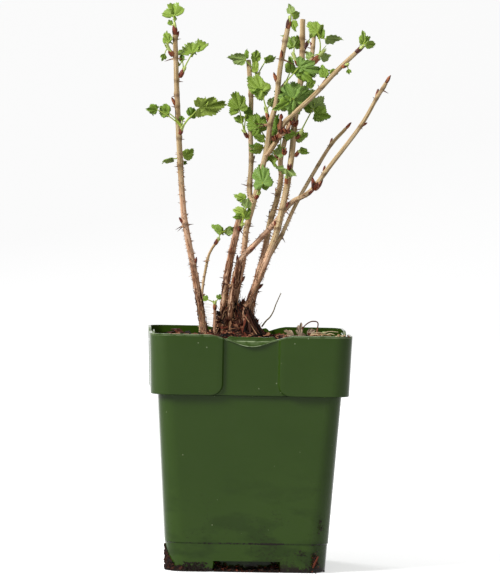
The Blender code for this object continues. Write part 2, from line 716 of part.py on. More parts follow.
def leaf_foot(bud, leaf, depth):
    """Where a leaf's stalk meets its blade, depth mm behind the bud."""
    angle, reach = math.radians(leaf[0]), leaf[1]
    return bud + Vector((reach * math.cos(angle), depth, reach * math.sin(angle)))


def make_leaf(start, base, leaf, lean):
    """Stalk from start to base, and the blade on it."""
    heading, length, width = math.radians(leaf[2]), leaf[3], leaf[4]
    ahead, normal, true_length, true_width = blade_axes(heading, length, width, lean)
    blade = make_blade(base, ahead, normal, true_length, true_width)
    end = base + ahead * true_length * 0.3
    long = (base - start).length
    middle = start.lerp(base, 0.55) + Vector((0, 0, 0.1 * long))
    thick = STALK_THICK if long > SMALL_LEAF else STALK_THICK * 0.8
    stalk = tube("stalk", [start, middle, end], [thick, thick, thick * 0.8], 3, "leaf")
    return [stalk, blade]


def stalk_start(heart, along, base, feet):
    """A leaf springs from the foot of an earlier one close by, or else from the bud's heart."""
    near = [foot for foot in feet if Vector((foot.x - base.x, 0, foot.z - base.z)).length < SHARED_STALK]
    if near and (near[0] - heart).length > SHARED_STALK:
        return near[0]
    return heart + (base - heart).normalized() * 0.3 + along * (0.35 * len(feet) - 0.8)


def bud_start(spec, higher):
    """Where a mass's bud starts and heads, 0.3 mm clear of its cane."""
    cane = CANES[spec["cane"]]
    if spec["side"] is None:
        points, _ = cane_line(cane)
        along = (points[-1] - points[-2]).normalized()
        return points[-1] + along * GAP, along
    centre, along, radius = place_on(cane, spec["up"] - BUD_LONG * 0.5 + higher)
    out = outward(along, spec["side"])
    return centre + out * (radius * 1.12 + GAP + 0.1), (out * 0.55 + along).normalized()


def make_bud(name, spec, occupied):
    """A mass's bud on its short foot, moved along its cane until it is clear of everything."""
    for higher in (0, 3, -3, 6, -6, 9, -9):
        start, along = bud_start(spec, higher)
        if spec["side"] is None:
            foot = tube("foot", [start, start + along * 1.5], [0.9, 0.9], 4, "bark")
            seat = start + along * 0.4
        else:
            out = outward(along, spec["side"])
            foot = tube("foot", [start, start + out * 1.8], [0.8, 0.8], 4, "bark")
            seat = start + out * BUD_THICK * 0.75
        bud = spindle(name, seat, along, BUD_LONG, BUD_THICK)
        if is_clear(bud, occupied, GAP) and is_clear(foot, occupied, GAP - 0.05):
            break
        if higher == -9:
            print("no room for", name)
            break
        bpy.data.objects.remove(foot)
        bpy.data.objects.remove(bud)
    return bud, foot, seat + along * BUD_LONG * 0.55, along


def make_mass(name, spec, occupied, rng):
    bud, foot, heart, along = make_bud(name, spec, occupied)
    parts, feet = [foot], []
    for leaf in spec["leaves"]:
        made = None
        for attempt in range(LEANS_TRIED):
            swing = math.tan(math.radians(12 + 4 * attempt))
            depth = max(-MOST_DEEP, min(MOST_DEEP, leaf[1] * rng.uniform(-swing, swing)))
            base = leaf_foot(heart, leaf, depth + attempt % 3 * (len(feet) % 2 - 0.5))
            begin = stalk_start(heart, along, base, feet)
            if (base - heart).length + leaf[3] > MASS_REACH:
                continue
            if begin in feet:
                base.y = begin.y + math.copysign(1.0, depth)
            made = make_leaf(begin, base, leaf, math.radians(rng.uniform(8, 26)))
            if all(is_clear(piece, occupied, GAP + 0.1) for piece in made):
                break
            for piece in made:
                bpy.data.objects.remove(piece)
            made = None
        if made:
            parts += made
            feet.append(base)
    boolean(bud, parts, "UNION")
    return bud


def sockets(canes, names, clear):
    """Wider copies of the feet of some canes, to cut the holes that they stand in."""
    cutters = []
    for name in names:
        points, radii = cane_line(CANES[name])
        along = (points[0] - points[1]).normalized()
        wide = clear + CUTTER_SLACK
        first = points[0] + along * clear
        cutters.append(tube("socket", [first] + points[1:4], [r + wide for r in radii[:4]], CANE_SIDES, "bark"))
    return cutters


def seat_canes(canes, compost, crown):
    """Stands each cane in a socket of the crown or the compost."""
    in_crown = ["cane_stub", "cane_middle", "cane_far_right", "cane_back", "cane_front", "cane_right_thin"]
    in_compost = ["cane_left", "cane_left_thin", "sprout", "cane_right_thin"]
    boolean(crown, sockets(canes, in_crown, GAP + 0.1), "DIFFERENCE")
    boolean(compost, sockets(canes, in_compost, GAP + 0.1), "DIFFERENCE")


def main():
    for old in list(bpy.data.objects):
        bpy.data.objects.remove(old)
    rng = random.Random(SEED)
    make_pot()
    compost = make_compost()
    crown = make_crown()
    canes = make_canes()
    seat_canes(canes, compost, crown)
    trees = {name: tree_of(cane) for name, cane in canes.items()}
    trees["crown"] = tree_of(crown)
    for name, cane in canes.items():
        dress_cane(name, cane, trees)
        smooth_shading(cane)
    occupied = [tree_of(cane) for cane in canes.values()] + [tree_of(crown), tree_of(compost)]
    for name, spec in MASSES.items():
        mass = make_mass(name, spec, occupied, rng)
        occupied.append(tree_of(mass))


main()
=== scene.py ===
# Young gooseberry bush coming into leaf, in its square nursery pot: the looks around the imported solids.
# Lengths are in millimetres, and mm turns them into metres.
import math
import random

import bpy
from mathutils import Matrix, Vector, noise


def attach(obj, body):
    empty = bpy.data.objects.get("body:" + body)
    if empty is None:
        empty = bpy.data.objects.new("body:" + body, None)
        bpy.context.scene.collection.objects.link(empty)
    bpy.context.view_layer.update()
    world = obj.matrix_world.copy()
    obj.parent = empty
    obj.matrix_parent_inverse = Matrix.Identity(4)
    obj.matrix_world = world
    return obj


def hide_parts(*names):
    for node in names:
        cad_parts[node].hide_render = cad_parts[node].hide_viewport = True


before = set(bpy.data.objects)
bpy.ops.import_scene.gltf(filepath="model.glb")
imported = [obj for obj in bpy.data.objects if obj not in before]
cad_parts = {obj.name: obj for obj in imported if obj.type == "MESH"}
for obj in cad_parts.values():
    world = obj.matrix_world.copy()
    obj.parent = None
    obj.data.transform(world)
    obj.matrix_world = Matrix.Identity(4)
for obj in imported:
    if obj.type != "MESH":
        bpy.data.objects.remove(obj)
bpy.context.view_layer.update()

mm = 0.001


# Shader maths

class Wire:
    # a socket whose sums and products add Math nodes
    def __init__(self, look, socket):
        self.look = look
        self.socket = socket

    def sum(self, operation, *others):
        made = self.look.node("Math", {"operation": operation}, dict(enumerate((self, *others))))
        return Wire(self.look, made.outputs[0])

    def __add__(self, other):
        return self.sum("ADD", other)

    def __mul__(self, other):
        return self.sum("MULTIPLY", other)

    def __sub__(self, other):
        return self.sum("SUBTRACT", other)

    def __rsub__(self, other):
        return self.sum("MULTIPLY", -1.0).sum("ADD", other)

    def __truediv__(self, other):
        return self.sum("DIVIDE", other)

    def __gt__(self, other):
        return self.sum("GREATER_THAN", other)

    def __lt__(self, other):
        return self.sum("LESS_THAN", other)

    __radd__ = __add__
    __rmul__ = __mul__

    def ramp(self, low, high):
        # 0 below low and 1 above high
        made = self.look.node("MapRange", {"clamp": True}, {"Value": self, "From Min": low, "From Max": high})
        return Wire(self.look, made.outputs[0])


class Look:
    # a material and the nodes that colour it
    def __init__(self, name, colour, roughness, **constants):
        self.material = bpy.data.materials.new(name)
        self.material.use_nodes = True
        self.tree = self.material.node_tree
        self.shader = self.tree.nodes["Principled BSDF"]
        self.shader.inputs["Base Color"].default_value = (*colour, 1)
        self.shader.inputs["Roughness"].default_value = roughness
        for socket, value in constants.items():
            self.shader.inputs[socket.replace("_", " ")].default_value = value
        self.place = None

    def node(self, kind, settings=(), sockets=()):
        made = self.tree.nodes.new("ShaderNode" + kind)
        for key, value in dict(settings).items():
            setattr(made, key, value)
        for key, value in dict(sockets).items():
            self.put(made.inputs[key], value)
        return made

    def put(self, socket, value):
        if isinstance(value, Wire):
            self.tree.links.new(value.socket, socket)
        else:
            socket.default_value = value

    def objectPlace(self, stretch=(1, 1, 1)):
        # object coordinates, stretched
        if not self.place:
            self.place = Wire(self, self.node("TexCoord").outputs["Object"])
        made = self.node("VectorMath", {"operation": "MULTIPLY"}, {0: self.place, 1: stretch})
        return Wire(self, made.outputs[0])

    def axis(self, letter):
        made = self.node("SeparateXYZ", (), {0: self.objectPlace()})
        return Wire(self, made.outputs[letter])

    def cloud(self, scale, detail=3, stretch=(1, 1, 1), rough=0.55):
        sockets = {"Vector": self.objectPlace(stretch), "Scale": scale, "Detail": detail, "Roughness": rough}
        return Wire(self, self.node("TexNoise", (), sockets).outputs["Fac"])

    def cells(self, scale, output="Distance"):
        made = self.node("TexVoronoi", (), {"Vector": self.objectPlace(), "Scale": scale})
        return Wire(self, made.outputs[output])

    def attribute(self, name):
        return Wire(self, self.node("Attribute", {"attribute_name": name}).outputs["Fac"])

    def blend(self, amount, first, second):
        # colour that goes from first to second
        made = self.node("Mix", {"data_type": "RGBA"}, {"Factor": amount, 6: first, 7: second})
        return Wire(self, made.outputs[2])

    def coats(self, colour, tone, *layers):
        # lays colours named in tone over colour, each by its mask
        for mask, name in layers:
            colour = self.blend(mask, colour, rgba(*tone[name]))
        return colour

    def dress(self, colour, roughness, height, strength, depth):
        # joins the colour, the roughness where it varies, and relief depth mm deep
        self.put(self.shader.inputs["Base Color"], colour)
        if roughness:
            self.put(self.shader.inputs["Roughness"], roughness)
        bump = self.node("Bump", (), {"Height": height, "Strength": strength, "Distance": depth * mm})
        self.put(self.shader.inputs["Normal"], Wire(self, bump.outputs[0]))
        return self.material


def rgb(red, green, blue):
    # screen colour 0 to 255 as linear light
    shares = [v / 255 for v in (red, green, blue)]
    return tuple(((v + 0.055) / 1.055) ** 2.4 if v > 0.04 else v / 12.92 for v in shares)


def rgba(red, green, blue):
    return (*rgb(red, green, blue), 1)


# Materials

potLook = {
    "plastic": (45, 68, 15), "faded": (50, 73, 20), "deep": (38, 58, 12), "worn": (176, 190, 150),
    "dust": (176, 186, 150), "soil": (28, 17, 11), "roughness": 0.4, "coat": 1.24, "coatRough": 0.14,
    "ringUp": 20.0, "grimeUp": 7.0, "lowFrom": 75.0,
}


def potPlastic():
    tone = potLook
    gloss = {"Specular_IOR_Level": 0.0, "Coat_Weight": 1.0, "Coat_IOR": tone["coat"],
             "Coat_Roughness": tone["coatRough"]}
    look = Look("potPlastic", rgb(*tone["plastic"]), tone["roughness"], **gloss)
    up = look.axis("Z") / mm
    broad = look.cloud(9)
    # darker in cloudy patches, more towards the bottom
    lowDarkPatches = look.cloud(24, 4, (1, 1, 2.4)).ramp(0.5, 0.6)
    low = up.ramp(tone["lowFrom"], tone["ringUp"])
    # pale specks of dust in a few of many cells
    specks = (look.cells(330) < 0.13) * (look.cells(330, "Color") > 0.88)
    large = (look.cells(120) < 0.045) * (look.cells(120, "Color") > 0.78)
    wear = look.attribute("wear") * look.cloud(260).ramp(0.28, 0.55)
    # soil along the ring line, over the foot and in flecks
    flecks = look.cloud(480, 4, (1, 1, 1.3), 0.7)
    ring = (up - tone["ringUp"]).sum("ABSOLUTE").ramp(1.0, 0.1)
    foot = up.ramp(tone["grimeUp"], 0.0)
    patches = look.cloud(45, 4)
    grime = (flecks * 0.65 + patches * 0.62 + ring * 0.10 + foot * 0.14 + low * 0.02).ramp(0.73, 0.77)
    soiled = grime * (ring + foot + low * 0.35).sum("MINIMUM", 1.0)
    colour = look.coats(rgba(*tone["plastic"]), tone, (broad.ramp(0.35, 0.65), "faded"),
                        (lowDarkPatches * (low * 0.85 + 0.08), "deep"), (specks * 0.45 + large * 0.7, "dust"),
                        (wear, "worn"), (soiled, "soil"))
    rough = look.cloud(60) * 0.14 + grime * 0.4 + wear * 0.2 + 0.26
    height = look.cloud(700, 2) * 0.2 + grime * 0.8 + specks * 0.5
    return look.dress(colour, rough, height, 0.2, 0.2)


barkColours = {
    "pale": (202, 180, 142), "warm": (152, 126, 86), "rosePale": (224, 188, 158), "rose": (190, 146, 114),
    "brown": (138, 88, 58), "dark": (62, 28, 14), "grey": (184, 160, 134),
}


def bark():
    # coloured along each cane by the vector grow, which follows its length
    tone = barkColours
    look = Look("bark", rgb(*tone["pale"]), 0.72, Specular_IOR_Level=0.08)
    look.place = Wire(look, look.node("Attribute", {"attribute_name": "grow"}).outputs["Vector"])
    age = look.attribute("age")
    streaks = look.cloud(1, 4, (1000, 1000, 55))
    fine = look.cloud(1, 3, (2600, 2600, 210))
    patches = look.cloud(1, 3, (260, 260, 90))
    streaky = streaks.ramp(0.38, 0.62)
    young = look.coats(rgba(*tone["pale"]), tone, (streaky, "warm"))
    rosy = look.coats(rgba(*tone["rosePale"]), tone, (streaky, "rose"))
    worn = age * 0.95 + (patches - 0.5) * 1.1 + (streaks - 0.5) * 1.7 + (fine - 0.5) * 0.9
    cracked = age * 0.85 + (fine - 0.5) * 2.8 + (streaks - 0.5) * 1.6
    lines = (fine - streaks * 0.35).ramp(0.42, 0.5)
    greyed = (patches * 0.6 + fine * 0.4).ramp(0.56, 0.66)
    colour = look.blend((age + patches * 0.3).ramp(0.15, 0.35), young, rosy)
    colour = look.coats(colour, tone, (worn.ramp(0.5, 1.4), "brown"), (cracked.ramp(0.75, 1.2), "dark"),
                        (lines * 0.5, "brown"), (greyed * 0.4, "grey"), (look.attribute("stain"), "dark"))
    return look.dress(colour, fine * 0.2 + 0.62, streaks + fine * 0.6, 0.8, 0.35)


plainLooks = {
    # name: (colour, roughness)
    # the blade greens from bright to deep are one leaf green made lighter and darker: painted light and
    # painted shade, given leaf by leaf
    "bladeBright": ((150, 172, 74), 0.55),
    "bladeFresh": ((134, 160, 62), 0.55),
    "bladeMid": ((118, 147, 50), 0.55),
    "bladeDeep": ((98, 129, 38), 0.55),
    "bladeMuted": ((116, 147, 66), 0.55),
    "vein": ((154, 176, 88), 0.55),
    "bladeUnder": ((146, 168, 94), 0.65),
    "stalk": ((158, 178, 72), 0.5),
    "sheath": ((194, 208, 122), 0.5),
    "thorn": ((178, 140, 108), 0.6),
    "thornTip": ((84, 46, 28), 0.5),
    "scaleRed": ((116, 52, 30), 0.45),
    "scaleBrown": ((158, 96, 60), 0.5),
    "scaleDark": ((70, 34, 20), 0.5),
    "cutWood": ((206, 188, 152), 0.8),
    "fibre": ((164, 128, 94), 0.85),
    "fibreDark": ((94, 58, 38), 0.9),
    "chipRed": ((98, 46, 29), 0.9),
    "chipBrown": ((62, 32, 20), 0.9),
    # near black for dark chips and soil, and painted shade in the crown's hollow
    "chipDark": ((20, 9, 5), 0.95),
    "chipPale": ((144, 100, 72), 0.9),
    "straw": ((214, 192, 154), 0.8),
    "grass": ((116, 100, 58), 0.7),
    "deadLeaf": ((168, 144, 124), 0.85),
    "greenBall": ((112, 132, 76), 0.7),
    "wetSoil": ((30, 18, 12), 0.8),
}


def plainMaterials():
    made = {}
    for name, (colour, roughness) in plainLooks.items():
        look = Look(name, rgb(*colour), roughness, Specular_IOR_Level=0.25)
        grain = look.cloud(900)
        shade = (*(0.66 * c for c in rgb(*colour)), 1)
        mixed = look.blend(grain.ramp(0.35, 0.7) * 0.7, rgba(*colour), shade)
        made[name] = look.dress(mixed, None, grain, 0.25, 0.2)
    return made


looks = plainMaterials()
looks["potPlastic"] = potPlastic()
looks["bark"] = bark()
print("materials", len(looks))


# Building from lists

def deselect():
    bpy.ops.object.select_all(action="DESELECT")


def pick(piece):
    deselect()
    piece.select_set(True)
    bpy.context.view_layer.objects.active = piece


class Pile:
    # gathers small shapes that become one joined mesh, in mm
    def __init__(self):
        self.verts = []
        self.faces = []
        self.kinds = []

    def add(self, verts, faces, kinds):
        start = len(self.verts)
        self.verts += verts
        self.faces += [tuple(start + i for i in face) for face in faces]
        self.kinds += kinds if isinstance(kinds, list) else [kinds] * len(faces)

    def build(self, name, attributes=(), angle=50):
        names = sorted(set(self.kinds))
        mesh = bpy.data.meshes.new(name)
        mesh.from_pydata([Vector(v) * mm for v in self.verts], [], self.faces)
        for kind in names:
            mesh.materials.append(looks[kind])
        order = {kind: k for k, kind in enumerate(names)}
        mesh.polygons.foreach_set("material_index", [order[kind] for kind in self.kinds])
        for key, values in dict(attributes).items():
            plain = len(values) == len(self.verts)
            made = mesh.attributes.new(key, "FLOAT" if plain else "FLOAT_VECTOR", "POINT")
            made.data.foreach_set("value" if plain else "vector", values)
        piece = bpy.data.objects.new(name, mesh)
        bpy.context.scene.collection.objects.link(piece)
        pick(piece)
        bpy.ops.object.shade_smooth_by_angle(angle=math.radians(angle))
        return piece


def finishPiece(piece, slot, *replaced):
    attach(piece, "root")
    if replaced:
        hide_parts(*replaced)
    triangles = sum(len(p.vertices) - 2 for p in piece.data.polygons)
    print(piece.name, triangles, "triangles")


def smoothStep(x):
    x = min(max(x, 0.0), 1.0)
    return x * x * (3 - 2 * x)


def flatWay(turn):
    # the level direction at an angle in radians from +X
    return Vector((math.cos(turn), math.sin(turn), 0))


def planWay(side):
    return flatWay(math.radians(side))


def between(a, b, share):
    return a + (b - a) * share


def squareTo(axis, want):
    # the direction square to axis that is nearest to want
    return (want - axis * want.dot(axis)).normalized()


def turnedFrom(axis, turn):
    # a direction square to axis, turned about it
    return Matrix.Rotation(turn, 3, axis) @ axis.orthogonal().normalized()


def shake(rng, *spans):
    # a vector drawn from a span for each axis
    return Vector([rng.uniform(*span) for span in spans])


quarterTurns = [Matrix.Rotation(side * math.pi / 2, 3, "Z") for side in range(4)]
boxFaces = [(3, 2, 1, 0), (4, 5, 6, 7), (0, 1, 5, 4), (1, 2, 6, 5), (2, 3, 7, 6), (3, 0, 4, 7)]


def rimFaces(rim, count):
    # closes the gap between an upper skin and a lower one, whose points come count later
    return [(b, a, count + a, count + b) for a, b in zip(rim, rim[1:] + rim[:1])]


def slabFaces(rows, across):
    # the skin of two grids of points that lie over each other, the upper one first
    count = rows * across
    faces = []
    for r in range(rows - 1):
        for c in range(across - 1):
            a = r * across + c
            faces.append((a, a + 1, a + across + 1, a + across))
            faces.append((count + a + across, count + a + across + 1, count + a + 1, count + a))
    rim = list(range(across)) + [r * across + across - 1 for r in range(1, rows)]
    rim += [(rows - 1) * across + c for c in range(across - 2, -1, -1)]
    rim += [r * across for r in range(rows - 2, 0, -1)]
    return faces + rimFaces(rim, count)


def ringFaces(rings, sides):
    # the skin round rings of points, closed at both ends
    faces = []
    for k in range(rings - 1):
        for i in range(sides):
            j = (i + 1) % sides
            faces.append((k * sides + i, k * sides + j, (k + 1) * sides + j, (k + 1) * sides + i))
    faces.append(tuple(reversed(range(sides))))
    faces.append(tuple(range((rings - 1) * sides, rings * sides)))
    return faces


def headingAt(points, k):
    return (points[min(k + 1, len(points) - 1)] - points[max(k - 1, 0)]).normalized()


def tubeRings(points, radii, sides, shape=None):
    # rings of a tube that turn as little as they can; shape(point, out) scales the radius towards out
    verts = []
    along = (points[1] - points[0]).normalized()
    across = along.orthogonal().normalized()
    for k, point in enumerate(points):
        ahead = headingAt(points, k)
        across = along.rotation_difference(ahead) @ across
        along = ahead
        up = along.cross(across)
        for i in range(sides):
            angle = 2 * math.pi * i / sides
            out = across * math.cos(angle) + up * math.sin(angle)
            verts.append(point + out * radii[k] * (shape(point, out) if shape else 1))
    return verts


def addTube(pile, points, radii, sides, kind, tipKind=None):
    # a closed tube, of another kind beyond its middle where tipKind is given
    faces = ringFaces(len(points), sides)
    kinds = [kind] * len(faces)
    if tipKind:
        half = (len(points) - 1) // 2 * sides
        kinds[half:] = [tipKind] * (len(faces) - half)
        kinds[-2] = kind
    pile.add(tubeRings(points, radii, sides), faces, kinds)


def addStrip(pile, points, outs, widths, thick, kind):
    # a flat ribbon through points whose face looks along outs
    verts = []
    for k, point in enumerate(points):
        side = headingAt(points, k).cross(outs[k]).normalized() * widths[k] * 0.5
        lift = outs[k] * thick * 0.5
        verts += [point + side + lift, point - side + lift, point - side - lift, point + side - lift]
    pile.add(verts, ringFaces(len(points), 4), kind)


def bezier(a, b, c, count):
    return [a.lerp(b, k / count).lerp(b.lerp(c, k / count), k / count) for k in range(count + 1)]


def curvePoints(way, spacing):
    # even points on a smooth curve through way
    way = [Vector(p) for p in way]
    ends = [way[0] * 2 - way[1]] + way + [way[-1] * 2 - way[-2]]
    fine = []
    for k in range(1, len(ends) - 2):
        a, b, c, d = ends[k - 1:k + 3]
        for i in range(16):
            t = i / 16
            fine.append(0.5 * (2 * b + (c - a) * t + (2 * a - 5 * b + 4 * c - d) * t * t
                               + (3 * b - a - 3 * c + d) * t ** 3))
    fine.append(way[-1])
    lengths = [0.0]
    for p, q in zip(fine, fine[1:]):
        lengths.append(lengths[-1] + (q - p).length)
    count = max(2, round(lengths[-1] / spacing))
    points, k = [], 0
    for i in range(count + 1):
        want = lengths[-1] * i / count
        while k < len(fine) - 2 and lengths[k + 1] < want:
            k += 1
        span = lengths[k + 1] - lengths[k]
        points.append(fine[k].lerp(fine[k + 1], (want - lengths[k]) / span if span else 0.0))
    return points


# Canes
# way is (right, away, up) from foot to tip, and thick the radius at foot and tip. aged holds the heights
# up to which the bark is dark and from which it is pale. bristly holds the heights between which
# bristles stand, and how many stand on a millimetre. A node is (up, side, bud length, thorns), with side
# as a plan angle from +X and each thorn as (side, length, rise).

canes = {
    "cane_left": {
        "thick": (2.5, 1.5), "aged": (180, 285), "bristly": (158, 290, 2.0),
        "way": [(-30, -4, 157), (-35, -6, 185), (-41, -9, 215), (-47, -13, 245), (-50.5, -18, 281),
            (-53.5, -24, 326), (-56, -28, 371)],
        "nodes": [(211, -15, 4.5, [(-20, 2.5, -0.2)]),
            (240, 200, 4.5, [(185, 6, -0.3), (215, 6, -0.5), (-10, 4, 0.1)]),
            (281, 190, 0, [(180, 2.5, 0.1), (195, 2, 0.2)]), (300, 330, 0, [(-25, 3, 0.1)]),
            (313, 0, 0, [(-15, 4.5, -0.1)]), (322, 190, 5.5, [(190, 3.5, 0.6)]),
            (330, 190, 0, [(185, 2.5, -0.1)]), (340, -10, 0, [(-10, 3.5, 0.0)]),
            (356, 200, 0, [(182, 7, -0.15), (-5, 6, -0.15)]), (369, 10, 4, [(0, 3, 0.3), (180, 2, 0.1)])],
    },
    "cane_left_thin": {
        "thick": (1.05, 0.85), "aged": (120, 170), "bristly": (165, 215, 0.5),
        "way": [(-34, 4, 157), (-33, 6, 191), (-29.5, 9, 214), (-27, 10, 221), (-24.5, 11, 225)],
        "nodes": [(187, 20, 3, [(10, 2, 0.4)]), (214, 170, 0, [(175, 3, 0.1)])],
    },
    "sprout": {
        "thick": (1.5, 0.9), "aged": (200, 225), "bristly": (160, 178, 0.6),
        "way": [(-23.7, -14, 160), (-24, -14, 171), (-24.3, -15, 180)],
        "nodes": [],
    },
    "cane_stub": {
        "thick": (2.5, 2.1), "aged": (225, 285), "bristly": (175, 238, 1.2), "cut": True,
        "way": [(-21.5, -12.5, 160), (-20.3, -8, 166), (-18.6, -3, 173), (-17.7, -2, 184), (-15.4, -5, 206),
            (-11.7, -8, 226.5), (-8, -11, 245)],
        "nodes": [(203, 190, 0, [(190, 4, 0.1)]),
            (221, 250, 3, [(195, 3, 0.1), (200, 2.5, 0.6), (-10, 2.5, 0.3)]),
            (238, 300, 0, [(-25, 7, -0.5), (190, 2, 0.5)])],
    },
    "cane_middle": {
        "thick": (2.2, 1.6), "aged": (178, 240), "bristly": (176, 262, 1.6),
        "way": [(-10.3, 3, 172), (-8.8, 4, 192), (-4.7, 4, 213), (-2.7, 2, 236.4), (2.1, 0, 256),
            (10, -6, 292), (12.2, -9, 311), (15.8, -12, 325), (18, -17, 350), (22.5, -22, 377)],
        "nodes": [(199, 10, 4.5, [(0, 2.5, 0.2)]), (240, 10, 0, [(0, 4, 0.4)]),
            (311, 185, 3.5, [(170, 9.5, -0.1), (200, 8.5, -0.25)]), (340, 190, 6, []),
            (357, 250, 5, [(190, 3.5, 0.1), (-8, 9, -0.15), (270, 4, 0.1)]),
            (369, 180, 0, [(180, 2, 0.4)])],
    },
    "cane_middle_fork": {
        "on": "cane_middle", "thick": (1.9, 1.5), "aged": (225, 262), "bristly": (256, 276, 0.8),
        "cut": True,
        "way": [(1.4, 0.4, 254), (-0.9, 4, 262), (-0.2, 9, 284), (-0.9, 15, 307), (-0.7, 21, 329),
            (-2.8, 28, 355)],
        "nodes": [(268, 190, 0, [(185, 4.5, 0.3), (-5, 3, 0.4)]), (285, 10, 3, [(5, 3, 0.2)]),
            (331, 200, 0, [(10, 2.5, 0.2)])],
    },
    "cane_middle_side": {
        "on": "cane_middle", "thick": (1.9, 1.4), "aged": (250, 298), "bristly": (290, 304, 0.5),
        "way": [(10.2, -6.2, 289), (15.7, -9, 297), (19, -11, 304), (22.2, -14, 312), (30.3, -18, 320),
            (43.6, -23, 333), (57, -27, 348), (70, -30, 361)],
        "nodes": [(300, 250, 5, [(200, 4, 0.1), (300, 4, 0.4)]), (303, 80, 5, [(20, 3.5, 0.3)]),
            (306, 180, 4.5, [(230, 3, 0.6)]), (313, 300, 0, [(-20, 3, 0.1)]),
            (337, 120, 5, [(150, 3, 0.3)])],
    },
    "cane_far_right": {
        "thick": (2.2, 1.2), "aged": (188, 268), "bristly": (176, 262, 1.5), "budTip": True,
        "way": [(-13.2, -15.5, 160), (-13.8, -13, 167), (-13.6, -9, 174), (-11.8, -6, 194), (-7.1, -5, 214),
            (2.4, -5, 225), (16, -5, 240), (27.4, -9, 255), (41, -14, 264), (54.7, -22, 283),
            (74, -31, 310), (84.3, -36, 329), (90.5, -40, 340)],
        "nodes": [(198, 262, 4.5, [(187, 7.5, 0.05), (215, 9, -0.9)]), (213, 170, 4, [(160, 4, 0.3)]),
            (222, 300, 4, [(280, 4.5, -0.5), (60, 3.5, 0.8)]), (232, 100, 3, [(110, 4, 0.6)]),
            (257, 80, 4.5, [(120, 3.5, 0.4)]), (263, 290, 4.5, [(250, 4, -0.7)]),
            (269, 100, 5, [(95, 4, 0.5)]), (277, 160, 4, [(150, 2, 0.3)]), (311, -20, 3.5, [(-40, 2, 0.2)]),
            (330, 130, 5, [(150, 2.5, 0.2)]), (337, -20, 0, [(-10, 5, 0.1)])],
    },
    "cane_back": {
        "thick": (2.4, 1.3), "aged": (182, 238), "bristly": (176, 275, 1.6), "budTip": True,
        "way": [(2.5, -11, 160), (1.5, -7, 167), (1, -2, 175), (4.6, -1, 198.6), (10, 1, 220),
            (13.8, 4, 241), (18.6, 8, 258), (21.2, 12, 272.6), (20.8, 16, 285), (23.5, 20, 298),
            (28.7, 27, 319), (35.6, 33, 342), (42, 37, 356.6), (44, 41, 376)],
        "nodes": [(246, 160, 3, [(165, 3, 0.3)]), (262, 170, 3, [(170, 4, 0.3)]),
            (279, 100, 0, [(20, 3, 0.3)]), (352, 300, 4.5, [(-25, 6, -0.4), (190, 3, 0.1)]),
            (366, 200, 3, [(190, 4, 0.3)])],
    },
    "cane_front": {
        "thick": (2.5, 1.7), "aged": (180, 232), "bristly": (176, 272, 1.8), "cut": True,
        "way": [(-4.6, -8.5, 168), (-2.9, -10, 175), (0.3, -11, 187.6), (6.2, -13, 202), (12.4, -14, 218.5),
            (17.7, -13, 233.6), (22.2, -11, 254), (25.7, -7, 273), (28.2, -2, 292.5), (29.8, 3, 313),
            (32.6, 7, 330), (34.4, 14, 358), (34.6, 20, 384.4)],
        "nodes": [(195, 10, 5, [(-5, 4.5, 0.6), (5, 3, 0.1)]), (238, 190, 4, [(185, 4, 0.2)]),
            (252, -10, 4.5, [(-15, 6.5, -0.6), (180, 5, -0.4)]),
            (308, 260, 6, [(-5, 5, 0.4), (190, 5, -0.3)]), (357, 250, 0, [(-8, 9, -0.15), (185, 4, 0.4)]),
            (363, -20, 5.5, [(-5, 3.5, -0.1)]), (372, 190, 0, [(-5, 2, 0.1)])],
    },
    "cane_right_thin": {
        "thick": (1.6, 1.1), "aged": (150, 200), "bristly": (185, 250, 0.7), "budTip": True,
        "way": [(-1, 7.5, 163), (3.5, 8, 190), (8, 7.5, 205), (14.4, 7, 218), (22.6, 9, 233), (32, 12, 254),
            (44.4, 18, 276.5), (56.3, 25, 296), (67, 31, 308)],
        "nodes": [(233, -20, 0, [(-30, 5, -0.6)]), (283, 80, 4, [(60, 2, 0.3)]),
            (297, 150, 4.5, [(150, 2, 0.3)])],
    },
}
barkRelief = {
    "sides": 22, "ring": 0.8, "slim": (0.9, 1.12), "nodeSwell": 0.22, "nodeHalf": 1.7, "stainHalf": 1.4,
    # (depth, fineness round the cane, fineness along it, place in the noise)
    "ridge": (0.07, 1.8, 0.03, 0), "rib": (0.042, 3.4, 0.022, 3), "grain": (0.04, 6.0, 0.16, 0),
    "flake": (0.16, 2.6, 0.08, 5),
}
footSwell = {"root": 0.16, "fork": 0.25, "reach": 9.0}


def caneLine(spec, spacing):
    # points along a cane and its radius at each
    points = curvePoints(spec["way"], spacing)
    swell = footSwell["fork" if "on" in spec else "root"]
    radii = []
    for k in range(len(points)):
        wider = 1 + swell * math.exp(-k * spacing / footSwell["reach"])
        radii.append(between(*spec["thick"], k / (len(points) - 1)) * wider)
    return points, radii


def caneTip(spec):
    # point, direction and radius at a cane's end
    points, radii = caneLine(spec, 4.0)
    return points[-1], (points[-1] - points[-2]).normalized(), radii[-1]


def placeOn(spec, up):
    # point, direction and radius of a cane at a height
    points, radii = caneLine(spec, 2.0)
    for k in range(len(points) - 1):
        if points[k + 1].z >= up or k == len(points) - 2:
            a, b = points[k], points[k + 1]
            share = min(max((up - a.z) / (b.z - a.z), 0.0), 1.0)
            return a.lerp(b, share), (b - a).normalized(), between(radii[k], radii[k + 1], share)


def outward(along, side):
    # out of a cane towards a plan angle
    return squareTo(along, planWay(side))


